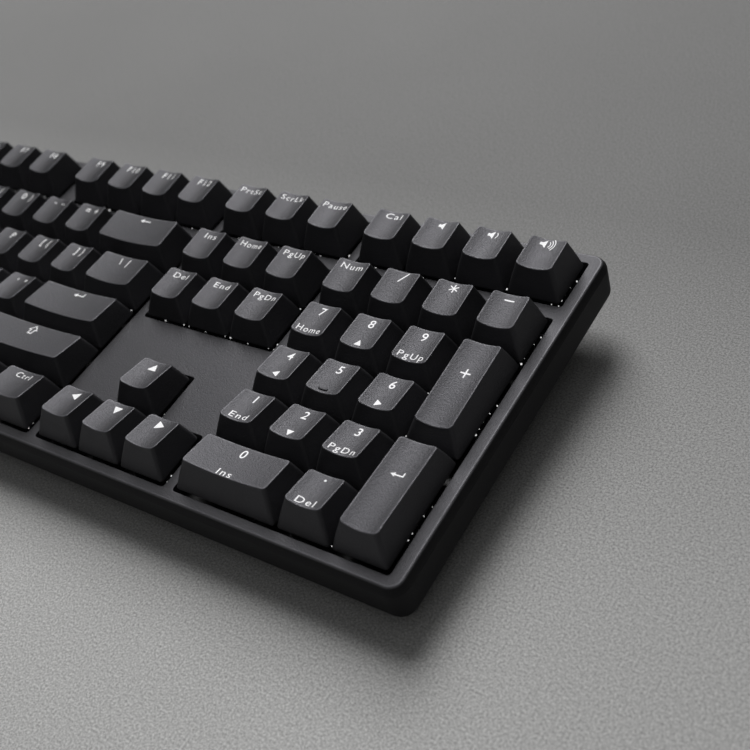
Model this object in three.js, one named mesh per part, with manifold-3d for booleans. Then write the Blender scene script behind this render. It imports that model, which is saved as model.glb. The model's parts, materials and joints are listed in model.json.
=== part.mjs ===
// Full-size mechanical keyboard with 108 keys, in millimetres.
// World frame: origin on the desk under the middle of the case, +X to the right,
// +Y towards the back, +Z up. Everything above the wedge-shaped tray is laid
// out in a "deck" frame, turned about X by the typing angle, with z = 0 on top
// of the switch plate.
import * as THREE from 'three';
import { mergeVertices } from 'three/addons/utils/BufferGeometryUtils.js';
import Module from 'manifold-3d';

const { degToRad } = THREE.MathUtils;

// ---------------------------------------------------------------- dimensions
const PITCH = 19.05;           // one key unit
const NAV_GAP = 4.7625;        // main block to navigation block, and on to the keypad
const FN_GAP = 6.35;           // number row to function row
const TILT = degToRad(4);      // typing angle, back edge higher
// case; heights in the deck frame
const CASE_SIDE = 4.7;         // key grid to the edge of the top face, left and right
const CASE_FRONT = 3.96;
const CASE_BACK = 4.4;
const CASE_R = 4;              // corner radius of the top face in plan
const RING_TOP = 6.2;          // top face
const FLARE = 1.2;             // the upright wall stands this far outside the top face
const SEAM = 3.4;              // middle of the seam between the two case shells
const SEAM_GAP = 0.3;
const SHELL_BOTTOM = SEAM + SEAM_GAP / 2;
const WALL_EDGE = -6.2;        // lower edge of the upright wall
const WALL_BOTTOM = -9.3;      // lower edge of the bevel under it
const WALL_TUCK = 1.4;         // how far the bevel ends inside the top face
const SKIN = 2.4;              // wall and floor thickness of the tray
// heights above the desk
const DESK_FACE = 1.5;         // underside of the tray
const FRONT_WALL_Z = 3.5;      // the WALL_BOTTOM plane under the front edge of the top face
// plate and circuit board
const PLATE_T = 1.5;
const PCB_TOP = -5.0;
const PCB_T = 1.6;
const PCB_BOTTOM = PCB_TOP - PCB_T;
// keycaps
const CAP_GAP = 0.85;          // between neighbouring skirts
const CAP_BOTTOM = RING_TOP;
const CAP_TOP_W = 12.36;       // width of a one-unit keycap's top face
const CAP_WALL = 1.3;
const CAP_ROOF = 1.6;
// switches
const BODY = { boardW: 13.3, plateW: 12.9, topW: 10.0, top: 6.6 };
const BORE = { w: 6.0, d: 5.6, floor: -4.6 };
const STEM = { w: 5.4, d: 5.0, bottom: -0.2 };
const STEM_IN_ROOF = 1.0;      // stem's end below the nominal top of the keycap
const OVERCUT = 1;             // how far a cutting tool runs past the face it opens

// keycap profiles: top height, tilt in degrees (+ back higher), offset to the back, top depth
const ROWS = [                 // function row at the back first, space bar row last
  [16.90, 3.4, 0.93, 12.66],
  [16.94, 4.0, 0.75, 12.83],
  [15.03, 0.2, 1.03, 13.00],
  [14.32, -5.6, 1.19, 13.25],
  [14.72, -10.4, 1.46, 13.03],
  [14.73, -9.6, 1.81, 12.70],
];
const PLUS_PROFILE = [14.81, 2.44, 1.13, 31.22];
const ENTER_PROFILE = [15.18, -2.5, 1.09, 31.66];

// ------------------------------------------------------------------- layout
const GRID_W = 22.5 * PITCH;
const GRID_D = 6 * PITCH + FN_GAP;
const CASE_W = GRID_W + 2 * CASE_SIDE;
const CASE_D = GRID_D + CASE_FRONT + CASE_BACK;
const MAIN_X = -GRID_W / 2;                     // left edges of the three blocks
const NAV_X = MAIN_X + 15 * PITCH + NAV_GAP;
const PAD_X = MAIN_X + 18 * PITCH + 2 * NAV_GAP;
const GRID_Y = -CASE_D / 2 + CASE_FRONT;        // front edge of the key grid
const FN_Y = GRID_Y + 5 * PITCH + FN_GAP;
const rowY = (row) => (row === 0 ? FN_Y : GRID_Y + (5 - row) * PITCH);

// flat underside of the tray in plan
const BASE_HALF_X = CASE_W / 2 - 15;
const BASE_FRONT = -56;
const BASE_BACK = 50;

// the deck is shifted so that the middle of the upright wall is centred on the origin
const DECK_Y = (WALL_EDGE + SHELL_BOTTOM) / 2 * Math.sin(TILT);
const DECK_Z = FRONT_WALL_Z + (CASE_D / 2) * Math.sin(TILT) - WALL_BOTTOM * Math.cos(TILT);
const deckToWorld = (x, y, z) => [
  x,
  y * Math.cos(TILT) - z * Math.sin(TILT) + DECK_Y,
  y * Math.sin(TILT) + z * Math.cos(TILT) + DECK_Z,
];

// w and h in units; a two-unit-tall key also covers the row in front of its own
const key = (x, row, { name, w = 1, h = 1, profile = ROWS[row] } = {}) => ({
  name, w, h, profile,
  cx: x + w * PITCH / 2,
  cy: rowY(row) + (h === 2 ? 0 : PITCH / 2),
});
function run(x, row, widths) {
  let left = x;
  return widths.map((w) => {
    const k = key(left, row, { w });
    left += w * PITCH;
    return k;
  });
}
const named = (x, row, ...names) =>
  names.map((name, i) => key(x + i * PITCH, row, { name: `${name}_key` }));
const ones = (n) => Array(n).fill(1);

// keycaps built as one piece per row
const BANKS = {
  escape_key: run(MAIN_X, 0, [1]),
  function_keys_f1_f4: run(MAIN_X + 2 * PITCH, 0, ones(4)),
  function_keys_f5_f8: run(MAIN_X + 6.5 * PITCH, 0, ones(4)),
  function_keys_f9_f12: run(MAIN_X + 11 * PITCH, 0, ones(4)),
  number_row_keys: run(MAIN_X, 1, [...ones(13), 2]),
  top_letter_row_keys: run(MAIN_X, 2, [1.5, ...ones(12), 1.5]),
  home_letter_row_keys: run(MAIN_X, 3, [1.75, ...ones(11), 2.25]),
  lower_letter_row_keys: run(MAIN_X, 4, [2.25, ...ones(10), 2.75]),
  bottom_row_left_keys: run(MAIN_X, 5, [1.25, 1.25, 1.25]),
  space_bar: run(MAIN_X + 3.75 * PITCH, 5, [6.25]),
  bottom_row_right_keys: run(MAIN_X + 10 * PITCH, 5, [1.25, 1.25, 1.25, 1.25]),
};
// keycaps built one by one
const SINGLES = [
  ...named(NAV_X, 0, 'print_screen', 'scroll_lock', 'pause'),
  ...named(PAD_X, 0, 'calculator', 'mute', 'volume_down', 'volume_up'),
  ...named(NAV_X, 1, 'insert', 'home', 'page_up'),
  ...named(NAV_X, 2, 'delete', 'end', 'page_down'),
  ...named(NAV_X + PITCH, 4, 'arrow_up'),
  ...named(NAV_X, 5, 'arrow_left', 'arrow_down', 'arrow_right'),
  ...named(PAD_X, 1, 'num_lock', 'pad_divide', 'pad_multiply', 'pad_minus'),
  ...named(PAD_X, 2, 'pad_7', 'pad_8', 'pad_9'),
  key(PAD_X + 3 * PITCH, 2, { name: 'pad_plus_key', h: 2, profile: PLUS_PROFILE }),
  ...named(PAD_X, 3, 'pad_4', 'pad_5', 'pad_6'),
  ...named(PAD_X, 4, 'pad_1', 'pad_2', 'pad_3'),
  key(PAD_X + 3 * PITCH, 4, { name: 'pad_enter_key', h: 2, profile: ENTER_PROFILE }),
  key(PAD_X, 5, { name: 'pad_0_key', w: 2 }),
  ...named(PAD_X + 2 * PITCH, 5, 'pad_point'),
];
const ALL_KEYS = [...Object.values(BANKS).flat(), ...SINGLES];
// the key whose switch is built in separate parts
const DETAIL = SINGLES.find((k) => k.name === 'pad_5_key');

// ------------------------------------------------------------ solid helpers
const wasm = await Module();
wasm.setup();
const { Manifold, Mesh } = wasm;

function solid(geometry) {
  geometry.deleteAttribute('normal');
  geometry.deleteAttribute('uv');
  const merged = mergeVertices(geometry, 1e-4);
  return new Manifold(new Mesh({
    numProp: 3,
    vertProperties: new Float32Array(merged.attributes.position.array),
    triVerts: new Uint32Array(merged.index.array),
  }));
}
function geometryOf(manifold) {
  const mesh = manifold.getMesh();
  const indexed = new THREE.BufferGeometry();
  indexed.setAttribute('position', new THREE.Float32BufferAttribute(mesh.vertProperties, 3));
  indexed.setIndex(new THREE.Uint32BufferAttribute(mesh.triVerts, 1));
  const flat = indexed.toNonIndexed();
  flat.computeVertexNormals();
  return flat;
}
const join = (list) => list.reduce((a, b) => a.add(b));

// boxes take a [low, high] span on each axis
const around = (centre, size) => [centre - size / 2, centre + size / 2];
const boxGeometry = ([x0, x1], [y0, y1], [z0, z1]) =>
  new THREE.BoxGeometry(x1 - x0, y1 - y0, z1 - z0)
    .translate((x0 + x1) / 2, (y0 + y1) / 2, (z0 + z1) / 2);
const box = (...spans) => solid(boxGeometry(...spans));
// a box given in the deck frame and placed in the world frame
const deckBox = (...spans) =>
  solid(boxGeometry(...spans).rotateX(TILT).translate(0, DECK_Y, DECK_Z));
// a box centred on a key
const block = ({ cx, cy }, w, d, z0, z1) => box(around(cx, w), around(cy, d), [z0, z1]);
// cylinder along X
const rod = (r, [x0, x1], y, z, segments = 12) =>
  solid(new THREE.CylinderGeometry(r, r, x1 - x0, segments)
    .rotateZ(Math.PI / 2).translate((x0 + x1) / 2, y, z));
// cylinder along Z, centred on a key
const post = (r, { cx, cy }, z0, z1) =>
  solid(new THREE.CylinderGeometry(r, r, z1 - z0, 12)
    .rotateX(Math.PI / 2).translate(cx, cy, (z0 + z1) / 2));

// a block centred on a key, from a lower to an upper rectangle;
// the upper one may be tilted (degrees) and offset to the back by dy
function frustum({ cx, cy }, lower, upper) {
  const geometry = new THREE.BoxGeometry(2, 2, 2);
  const p = geometry.attributes.position;
  const tilt = degToRad(upper.tilt ?? 0);
  const dy = upper.dy ?? 0;
  for (let i = 0; i < p.count; i++) {
    const x = p.getX(i) / 2;
    const y = p.getY(i) / 2;
    if (p.getZ(i) < 0) {
      p.setXYZ(i, cx + x * lower.w, cy + y * lower.d, lower.z);
    } else {
      const along = y * upper.d;
      p.setXYZ(i, cx + x * upper.w, cy + dy + along * Math.cos(tilt),
        upper.z + along * Math.sin(tilt));
    }
  }
  return solid(geometry);
}
const squareFrustum = (k, w0, z0, w1, z1) =>
  frustum(k, { w: w0, d: w0, z: z0 }, { w: w1, d: w1, z: z1 });

const CORNER_STEPS = 4;
function roundedRect(w, d, r, steps = CORNER_STEPS) {
  const points = [];
  // sign of x, sign of y, start angle of each corner
  for (const [sx, sy, start] of [[1, -1, -90], [1, 1, 0], [-1, 1, 90], [-1, -1, 180]]) {
    for (let i = 0; i <= steps; i++) {
      const a = degToRad(start + (90 * i) / steps);
      points.push(new THREE.Vector2(
        sx * (w / 2 - r) + r * Math.cos(a), sy * (d / 2 - r) + r * Math.sin(a)));
    }
  }
  return new THREE.Shape(points);
}
const slabGeometry = (w, d, r, z0, z1, steps) =>
  new THREE.ExtrudeGeometry(roundedRect(w, d, r, steps), { depth: z1 - z0, bevelEnabled: false })
    .translate(0, 0, z0);
const slab = (...args) => solid(slabGeometry(...args));

// a solid through rounded outlines [half width, y0, y1, corner radius, place], bottom first;
// place turns an outline's x, y into a point in space
function loft(levels) {
  const position = [];
  const index = [];
  const count = 4 * (CORNER_STEPS + 1);
  for (const [halfX, y0, y1, r, place] of levels) {
    for (const p of roundedRect(2 * halfX, y1 - y0, r).getPoints()) {
      position.push(...place(p.x, p.y + (y0 + y1) / 2));
    }
  }
  for (let l = 0; l + 1 < levels.length; l++) {
    for (let i = 0; i < count; i++) {
      const a = l * count + i;
      const b = l * count + (i + 1) % count;
      index.push(a, b, b + count, a, b + count, a + count);
    }
  }
  const top = (levels.length - 1) * count;
  for (let i = 1; i + 1 < count; i++) index.push(0, i + 1, i, top, top + i, top + i + 1);
  const geometry = new THREE.BufferGeometry();
  geometry.setAttribute('position', new THREE.Float32BufferAttribute(position, 3));
  geometry.setIndex(index);
  return solid(geometry);
}
const level = (z) => (x, y) => [x, y, z];
const onDeck = (z) => (x, y) => deckToWorld(x, y, z);
const caseOutline = (grow, r) => [CASE_W / 2 + grow, -CASE_D / 2 - grow, CASE_D / 2 + grow, r];

// --------------------------------------------------------------------- case
// frame with an opening for each cluster of keys
function topCase() {
  const clear = 0.55;                           // opening edge beyond the key pitch line
  const cutBottom = -1;
  const openings = [                            // left, front, units wide, units deep
    [MAIN_X, GRID_Y, 15, 5],
    [MAIN_X, FN_Y, 1, 1],
    [MAIN_X + 2 * PITCH, FN_Y, 4, 1],
    [MAIN_X + 6.5 * PITCH, FN_Y, 4, 1],
    [MAIN_X + 11 * PITCH, FN_Y, 4, 1],
    [NAV_X, FN_Y, 3, 1],
    [PAD_X, FN_Y, 4, 1],
    [NAV_X, GRID_Y + 3 * PITCH, 3, 2],
    [PAD_X, GRID_Y, 4, 5],
    [NAV_X, GRID_Y, 3, 1],
    [NAV_X + PITCH, GRID_Y, 1, 2],
  ].map(([x, y, w, d]) => box(
    [x - clear, x + w * PITCH + clear],
    [y - clear, y + d * PITCH + clear],
    [cutBottom, RING_TOP + OVERCUT]));
  // hollow in the underside between the arrow keys and the keys behind them
  const hollow = { sideWall: 2, endWall: 3, roof: 2.2 };
  const pocket = box(
    [NAV_X + hollow.sideWall, NAV_X + 3 * PITCH - hollow.sideWall],
    [GRID_Y + 2 * PITCH + hollow.endWall, GRID_Y + 3 * PITCH - hollow.endWall],
    [cutBottom, RING_TOP - hollow.roof]);
  // lip reaching down inside the tray's rim
  const lip = { inset: 1.5, bottom: 1.0, overlap: 1 };
  return loft([
    [...caseOutline(FLARE, CASE_R + FLARE), level(SHELL_BOTTOM)],
    [...caseOutline(0, CASE_R), level(RING_TOP)],
  ])
    .add(slab(CASE_W - 2 * lip.inset, CASE_D - 2 * lip.inset, CASE_R - lip.inset,
      lip.bottom, SHELL_BOTTOM + lip.overlap))
    .subtract(join(openings))
    .subtract(pocket);
}

// tilt feet, folded flat in pockets of the base, hinged at their rear end
const FOOT = {
  x: 168, w: 26, length: 30, thickness: 4.4, bottom: DESK_FACE + 0.6,
  pivotY: 42, pivotZ: 5.0, knuckleR: 2.6,
  pinR: 1.3, pinReach: 2.5, pinPlay: 0.4,
};
FOOT.front = FOOT.pivotY - FOOT.length;
// USB socket; x is its middle, y1 its open rear end
const PORT = { x: -96, w: 9.0, z0: PCB_TOP + 0.3, z1: PCB_TOP + 3.0, y1: CASE_D / 2 + 0.3 };

// the tray's outline from the flat base up over the bevel and the upright wall to the rim
function trayLoft({ inset, rim, rise, base }) {
  const r = CASE_R + FLARE - inset;
  return loft([
    [BASE_HALF_X - inset, BASE_FRONT + inset, BASE_BACK - inset, r, level(base)],
    [...caseOutline(-WALL_TUCK - inset, r), onDeck(WALL_BOTTOM + rise)],
    [...caseOutline(FLARE - inset, r), onDeck(WALL_EDGE + rise)],
    [...caseOutline(FLARE - inset, r), onDeck(rim)],
  ]);
}
// tray with upright walls, a wedge-shaped underside, plate ledges and foot pockets
function bottomCase() {
  let tray = trayLoft({ inset: 0, rim: SEAM - SEAM_GAP / 2, rise: 0, base: DESK_FACE })
    .subtract(trayLoft({ inset: SKIN, rim: SEAM + 1.5, rise: 0.8, base: DESK_FACE + SKIN }));

  const ledge = { endGap: 12, outer: CASE_D / 2 - 0.4, inner: CASE_D / 2 - 5.6 };
  for (const span of [[-ledge.outer, -ledge.inner], [ledge.inner, ledge.outer]]) {
    tray = tray.add(deckBox(around(0, CASE_W - 2 * ledge.endGap), span, [-4.4, -PLATE_T - 0.3]));
  }
  for (const side of [-1, 1]) {
    const x = side * FOOT.x;
    const housing = box(
      around(x, FOOT.w + 9),
      [FOOT.front - 3.6, FOOT.pivotY + 6.2],
      [DESK_FACE + 0.4, 10]);
    const pocket = box(
      around(x, FOOT.w + 1),
      [FOOT.front - 1.2, FOOT.pivotY + 4.2],
      [DESK_FACE - OVERCUT, 8.4]);
    const pinHole = rod(FOOT.pinR + FOOT.pinPlay,
      around(x, FOOT.w + 2 * (FOOT.pinReach + FOOT.pinPlay)), FOOT.pivotY, FOOT.pivotZ);
    tray = tray.add(housing).subtract(pocket).subtract(pinHole);
  }
  return tray.subtract(deckBox(
    around(PORT.x, PORT.w + 1),
    [CASE_D / 2 - 12, CASE_D / 2 + 3],
    [PORT.z0 - 0.5, PORT.z1 + 0.4]));
}
function tiltFoot(x) {
  const { w, front, bottom, pivotY, pivotZ } = FOOT;
  const leg = box(around(x, w), [front, pivotY], [bottom, bottom + FOOT.thickness]);
  const fingerGrip = box(
    around(x, 12), [front - 0.6, front + 3], [DESK_FACE - 0.5, DESK_FACE + 1.6]);
  const knuckle = rod(FOOT.knuckleR, around(x, w), pivotY, pivotZ, 16);
  const pins = rod(FOOT.pinR, around(x, w + 2 * FOOT.pinReach), pivotY, pivotZ);
  // recess in the upper face of the leg
  const recess = box(around(x, w - 6), [front + 4, pivotY - 5], [bottom + 2, DESK_FACE + 8]);
  return join([leg, fingerGrip, knuckle, pins]).subtract(recess);
}
const rubberPad = (x, y) => slabGeometry(36, 9, 4.4, 0, DESK_FACE).translate(x, y, 0);
const PADS = {                                  // centres in the world frame
  front_left: [-180, -48],
  front_right: [180, -48],
  rear_left: [-126, 42],
  rear_right: [126, 42],
};

// ---------------------------------------------------------- plate and board
// one square cut-out for each switch
function switchPlate() {
  const inset = 3.3;
  const cutout = 14.0;
  const cutouts = ALL_KEYS.map((k) => block(k, cutout, cutout, -PLATE_T - OVERCUT, OVERCUT));
  return slab(CASE_W - 2 * inset, CASE_D - 2 * inset, 5, -PLATE_T, 0, 2)
    .subtract(join(cutouts));
}
function switchBody(k) {
  const sunk = 0.4;                             // the body starts this far inside the board
  const body = squareFrustum(k, BODY.boardW, PCB_TOP - sunk, BODY.plateW, 0)
    .add(squareFrustum(k, BODY.plateW, 0, BODY.topW, BODY.top));
  if (!SINGLES.includes(k)) return body;
  return body.subtract(block(k, BORE.w, BORE.d, BORE.floor, BODY.top + OVERCUT));
}
// circuit board with the switches standing on it, and a hole for the detailed switch
function circuitBoard() {
  const board = box(around(0, CASE_W - 13), around(0, CASE_D - 12.8), [PCB_BOTTOM, PCB_TOP]);
  const bodies = ALL_KEYS.filter((k) => k !== DETAIL).map(switchBody);
  return join([board, ...bodies])
    .subtract(post(2.15, DETAIL, PCB_BOTTOM - OVERCUT, PCB_TOP + OVERCUT));
}
// USB socket on the board's rear edge: shell, cavity and tongue
function usbSocket() {
  const { x, w, y1, z0, z1 } = PORT;
  const wall = 0.4;
  const tongueGap = 1.05;
  return box(around(x, w), [y1 - 9.2, y1], [z0, z1])
    .subtract(box(around(x, w - 2 * wall), [y1 - 8.2, y1 + OVERCUT], [z0 + wall, z1 - wall]))
    .add(box(around(x, 6.4), [y1 - 8.7, y1 - 0.8], [z0 + tongueGap, z1 - tongueGap]));
}

// ------------------------------------------------------------------ keycaps
function capShell(k) {
  const [top, tilt, dy, depth] = k.profile;
  const w = k.w * PITCH - CAP_GAP;
  const d = k.h * PITCH - CAP_GAP;
  const topW = CAP_TOP_W + (k.w - 1) * PITCH;
  const walls = 2 * CAP_WALL;
  const skirtWalls = walls - 0.3;               // the skirt is a little thinner
  const outer = frustum(k, { w, d, z: CAP_BOTTOM }, { w: topW, d: depth, z: top, tilt, dy });
  const inner = frustum(k,
    { w: w - skirtWalls, d: d - skirtWalls, z: CAP_BOTTOM - 0.5 },
    { w: topW - walls, d: depth - walls, z: top - CAP_ROOF, tilt, dy });
  return outer.subtract(inner);
}
const stemTop = (k) => k.profile[0] - STEM_IN_ROOF;
// a keycap with the moving stem of its switch
const capWithStem = (k) => capShell(k).add(block(k, STEM.w, STEM.d, STEM.bottom, stemTop(k)));
// a row of keycaps held together by short links between their skirts
function capBank(keys) {
  const link = { w: CAP_GAP + 1.2, d: 3, z0: CAP_BOTTOM + 0.25, z1: CAP_BOTTOM + 1.25 };
  const links = keys.slice(1).map((k) => block(
    { cx: k.cx - k.w * PITCH / 2, cy: k.cy }, link.w, link.d, link.z0, link.z1));
  return join([...keys.map(capShell), ...links]);
}

// ----------------------------------- separate parts of the pad 5 key's switch
const CROSS = { span: 3.6, bar: 0.9, z0: 6.2, z1: 10.0, play: 0.6 };
const cross = (span, bar, z0, z1) =>
  block(DETAIL, span, bar, z0, z1).add(block(DETAIL, bar, span, z0, z1));

// open tray with a round post through the board
const detailBase = () => block(DETAIL, 13.2, 13.2, -4.7, -0.1)
  .subtract(block(DETAIL, 11.2, 11.2, -4.0, OVERCUT))
  .add(post(1.8, DETAIL, -6.3, -4.4));

// hollow tapered cover with a flange at its foot and a window in its top
const detailCover = () => block(DETAIL, 15.2, 15.2, 0.3, 1.2)
  .add(squareFrustum(DETAIL, 13.4, 0.4, 10.4, BODY.top))
  .subtract(squareFrustum(DETAIL, 11.6, -0.5, 9.0, 5.7))
  .subtract(block(DETAIL, 7.6, 6.8, 4, BODY.top + OVERCUT));

// slider, bored from below for the spring, with a cross on top
const detailStem = () => block(DETAIL, 7.0, 6.2, STEM.bottom + 0.4, 6.4)
  .subtract(post(2.3, DETAIL, STEM.bottom - OVERCUT, 5.4))
  .add(cross(CROSS.span, CROSS.bar, CROSS.z0, CROSS.z1));

// keycap with a round boss that takes the slider's cross
function detailCap() {
  const socket = cross(CROSS.span + CROSS.play, CROSS.bar + CROSS.play, 6, CROSS.z1 + 0.4);
  return capShell(DETAIL).add(post(2.75, DETAIL, 6.9, stemTop(DETAIL)).subtract(socket));
}

const SPRING = { r: 1.75, wireR: 0.24, turns: 4.5, bottom: -3.4, height: 8.3 };
class Coil extends THREE.Curve {
  getPoint(t, target = new THREE.Vector3()) {
    const a = 2 * Math.PI * SPRING.turns * t;
    return target.set(
      DETAIL.cx + SPRING.r * Math.cos(a),
      DETAIL.cy + SPRING.r * Math.sin(a),
      SPRING.bottom + SPRING.height * t);
  }
}
function detailSpring() {
  const wire = new THREE.Shape();
  wire.absarc(0, 0, SPRING.wireR, 0, 2 * Math.PI);
  return new THREE.ExtrudeGeometry(wire, {
    steps: 45, curveSegments: 2, bevelEnabled: false, extrudePath: new Coil(),
  });
}

// ----------------------------------------------------------------- assembly
const FINISHES = {
  case: { color: 0x2b2b2d, roughness: 0.62, metalness: 0 },
  tray: { color: 0x1d1d1f, roughness: 0.66, metalness: 0 },
  plate: { color: 0x111112, roughness: 0.45, metalness: 0.6 },
  board: { color: 0x0f1512, roughness: 0.4, metalness: 0 },
  cap: { color: 0x37373a, roughness: 0.72, metalness: 0 },
  rubber: { color: 0x141414, roughness: 0.9, metalness: 0 },
  steel: { color: 0xb9bcc0, roughness: 0.3, metalness: 1 },
  stem: { color: 0x8a4a2a, roughness: 0.4, metalness: 0 },
  clear: { color: 0xd8dadc, roughness: 0.15, metalness: 0 },
};
function addTo(group, name, finish, shape) {
  const geometry = shape.isBufferGeometry ? shape : geometryOf(shape);
  const mesh = new THREE.Mesh(geometry, new THREE.MeshStandardMaterial(FINISHES[finish]));
  mesh.name = name;
  group.add(mesh);
}

const keyboard = new THREE.Group();
const deck = new THREE.Group();
deck.rotation.x = TILT;
deck.position.set(0, DECK_Y, DECK_Z);
keyboard.add(deck);

addTo(deck, 'top_case', 'case', topCase());
addTo(keyboard, 'bottom_case', 'tray', bottomCase());
addTo(keyboard, 'tilt_foot_left', 'tray', tiltFoot(-FOOT.x));
addTo(keyboard, 'tilt_foot_right', 'tray', tiltFoot(FOOT.x));
for (const [place, [x, y]] of Object.entries(PADS)) {
  addTo(keyboard, `rubber_pad_${place}`, 'rubber', rubberPad(x, y));
}
addTo(deck, 'switch_plate', 'plate', switchPlate());
addTo(deck, 'circuit_board_with_switches', 'board', circuitBoard());
addTo(deck, 'usb_socket', 'steel', usbSocket());
addTo(deck, 'pad_5_switch_base', 'board', detailBase());
addTo(deck, 'pad_5_switch_cover', 'clear', detailCover());
addTo(deck, 'pad_5_switch_stem', 'stem', detailStem());
addTo(deck, 'pad_5_key', 'cap', detailCap());
addTo(deck, 'pad_5_return_spring', 'steel', detailSpring());
for (const k of SINGLES) {
  if (k !== DETAIL) addTo(deck, k.name, 'cap', capWithStem(k));
}
for (const [name, keys] of Object.entries(BANKS)) addTo(deck, name, 'cap', capBank(keys));

export default keyboard;
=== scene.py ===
"""Full-size keyboard with 108 keys, its switches, case, folding feet and a small studio.

Lengths are in millimetres until a mesh is made. The world has x to the right, y to the back and
z up, with the desk at z = 0. The deck frame is the plane of the switch plate: the world turned
about x by TILT, with z = 0 on the plate.
"""
import json
import math
import bpy
import bmesh
import numpy as np
from mathutils import Matrix, Vector
from mathutils.geometry import tessellate_polygon


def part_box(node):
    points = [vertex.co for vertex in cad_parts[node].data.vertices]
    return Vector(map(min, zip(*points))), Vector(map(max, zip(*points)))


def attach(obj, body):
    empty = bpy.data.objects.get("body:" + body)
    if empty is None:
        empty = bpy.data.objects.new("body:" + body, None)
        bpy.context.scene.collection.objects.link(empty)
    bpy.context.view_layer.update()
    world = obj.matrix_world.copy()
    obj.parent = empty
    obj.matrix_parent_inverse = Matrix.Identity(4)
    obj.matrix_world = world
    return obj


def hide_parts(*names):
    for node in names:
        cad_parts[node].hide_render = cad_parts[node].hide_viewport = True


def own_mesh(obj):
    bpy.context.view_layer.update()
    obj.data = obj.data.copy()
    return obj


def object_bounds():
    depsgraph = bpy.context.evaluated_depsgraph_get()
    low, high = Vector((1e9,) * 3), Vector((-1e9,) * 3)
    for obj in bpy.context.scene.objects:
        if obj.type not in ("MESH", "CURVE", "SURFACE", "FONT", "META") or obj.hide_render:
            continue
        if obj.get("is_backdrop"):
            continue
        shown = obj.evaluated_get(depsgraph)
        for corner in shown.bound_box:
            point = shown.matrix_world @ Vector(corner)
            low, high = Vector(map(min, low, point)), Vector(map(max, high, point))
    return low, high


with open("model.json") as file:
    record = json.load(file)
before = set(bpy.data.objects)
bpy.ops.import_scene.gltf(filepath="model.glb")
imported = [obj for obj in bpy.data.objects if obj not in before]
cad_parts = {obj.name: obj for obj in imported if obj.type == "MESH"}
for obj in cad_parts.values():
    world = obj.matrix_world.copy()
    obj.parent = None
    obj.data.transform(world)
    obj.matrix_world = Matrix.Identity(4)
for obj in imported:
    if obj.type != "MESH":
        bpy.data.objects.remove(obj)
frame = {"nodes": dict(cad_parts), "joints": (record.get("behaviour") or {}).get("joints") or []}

CAD_BOX = [list(v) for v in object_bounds()]
JOINTS = {joint["name"]: joint for joint in frame["joints"]}
MM = 0.001


def box_mm(name):
    return [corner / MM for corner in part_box(name)]


def centre_x(name):
    low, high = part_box(name)
    return (low.x + high.x) / 2 / MM


# ------------------------------------------------------------- dimensions
# The deck's tilt is the slide axis of the keys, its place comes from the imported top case.
press_axis = Vector(JOINTS["space_bar_press"]["axis"])
TILT = math.atan2(press_axis.y, -press_axis.z)
COS_TILT, SIN_TILT = math.cos(TILT), math.sin(TILT)
case_low, case_high = box_mm("top_case")

UNIT = 19.05                        # key pitch
NAV_GAP, FUNCTION_GAP = 4.7625, 6.35
FLARE = 1.2                         # how far the case widens from its top edge to the seam
SEAM, SEAM_GAP = 3.4, 0.3           # joint of top case and tray, deck heights
RING_TOP = 6.2                      # face of the top case
CASE_FOOT = SEAM + SEAM_GAP / 2     # lower edge of the top case
LIP_BOTTOM = 1.0
CASE_WIDTH = case_high.x - case_low.x - 2 * FLARE
CASE_DEPTH = (case_high.y - case_low.y) / COS_TILT - 2 * FLARE
CASE_RADIUS = 4.0
DECK_Z = case_high.z - CASE_DEPTH / 2 * SIN_TILT - RING_TOP * COS_TILT
DECK_Y = case_high.y - (CASE_DEPTH / 2 + FLARE) * COS_TILT + CASE_FOOT * SIN_TILT
DECK = Matrix.Translation((0, DECK_Y, DECK_Z)) @ Matrix.Rotation(TILT, 4, "X")

GRID_X = -22.5 * UNIT / 2           # left edge of the key grid
GRID_Y = -CASE_DEPTH / 2 + 3.96     # its front edge
NAV_X = GRID_X + 15 * UNIT + NAV_GAP
PAD_X = GRID_X + 18 * UNIT + 2 * NAV_GAP
FUNCTION_Y = GRID_Y + 5 * UNIT + FUNCTION_GAP
OPENING_CLEARANCE = 0.55            # between the key grid and the edge of an opening

TRAY_RIM = SEAM + 0.07
WALL_EDGE, WALL_BOTTOM = -6.2, -9.3     # deck heights where the wall turns, and ends
WALL_TUCK, SKIN = 1.4, 2.4
DESK_FACE = box_mm("bottom_case")[0].z
BASE_HALF_X, BASE_FRONT, BASE_BACK = CASE_WIDTH / 2 - 15, -56.0, 50.0
BASE_RADIUS = 5.2


def deck_to_world(points):
    x, y, z = np.asarray(points, float).T
    return np.column_stack([x, y * COS_TILT - z * SIN_TILT + DECK_Y,
                            y * SIN_TILT + z * COS_TILT + DECK_Z])


# -------------------------------------------------------------- materials
def rgba(colour):
    return (*colour, 1) if isinstance(colour, tuple) else (colour, colour, colour, 1)


def set_inputs(tree, node, values):
    """link the sockets among the values, and store the rest"""
    for key, value in values.items():
        if isinstance(value, bpy.types.NodeSocket):
            tree.links.new(value, node.inputs[key])
        else:
            node.inputs[key].default_value = value


def add_node(tree, kind, inputs, **settings):
    node = tree.nodes.new("ShaderNode" + kind)
    for key, value in settings.items():
        setattr(node, key, value)
    set_inputs(tree, node, inputs)
    return node


def new_material(name):
    material = bpy.data.materials.new(name)
    material.use_nodes = True
    tree = material.node_tree
    tree.nodes.clear()
    output = tree.nodes.new("ShaderNodeOutputMaterial")
    bsdf = tree.nodes.new("ShaderNodeBsdfPrincipled")
    tree.links.new(bsdf.outputs[0], output.inputs[0])
    coordinates = tree.nodes.new("ShaderNodeTexCoord")
    return material, tree, bsdf, coordinates.outputs["Object"]


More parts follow.
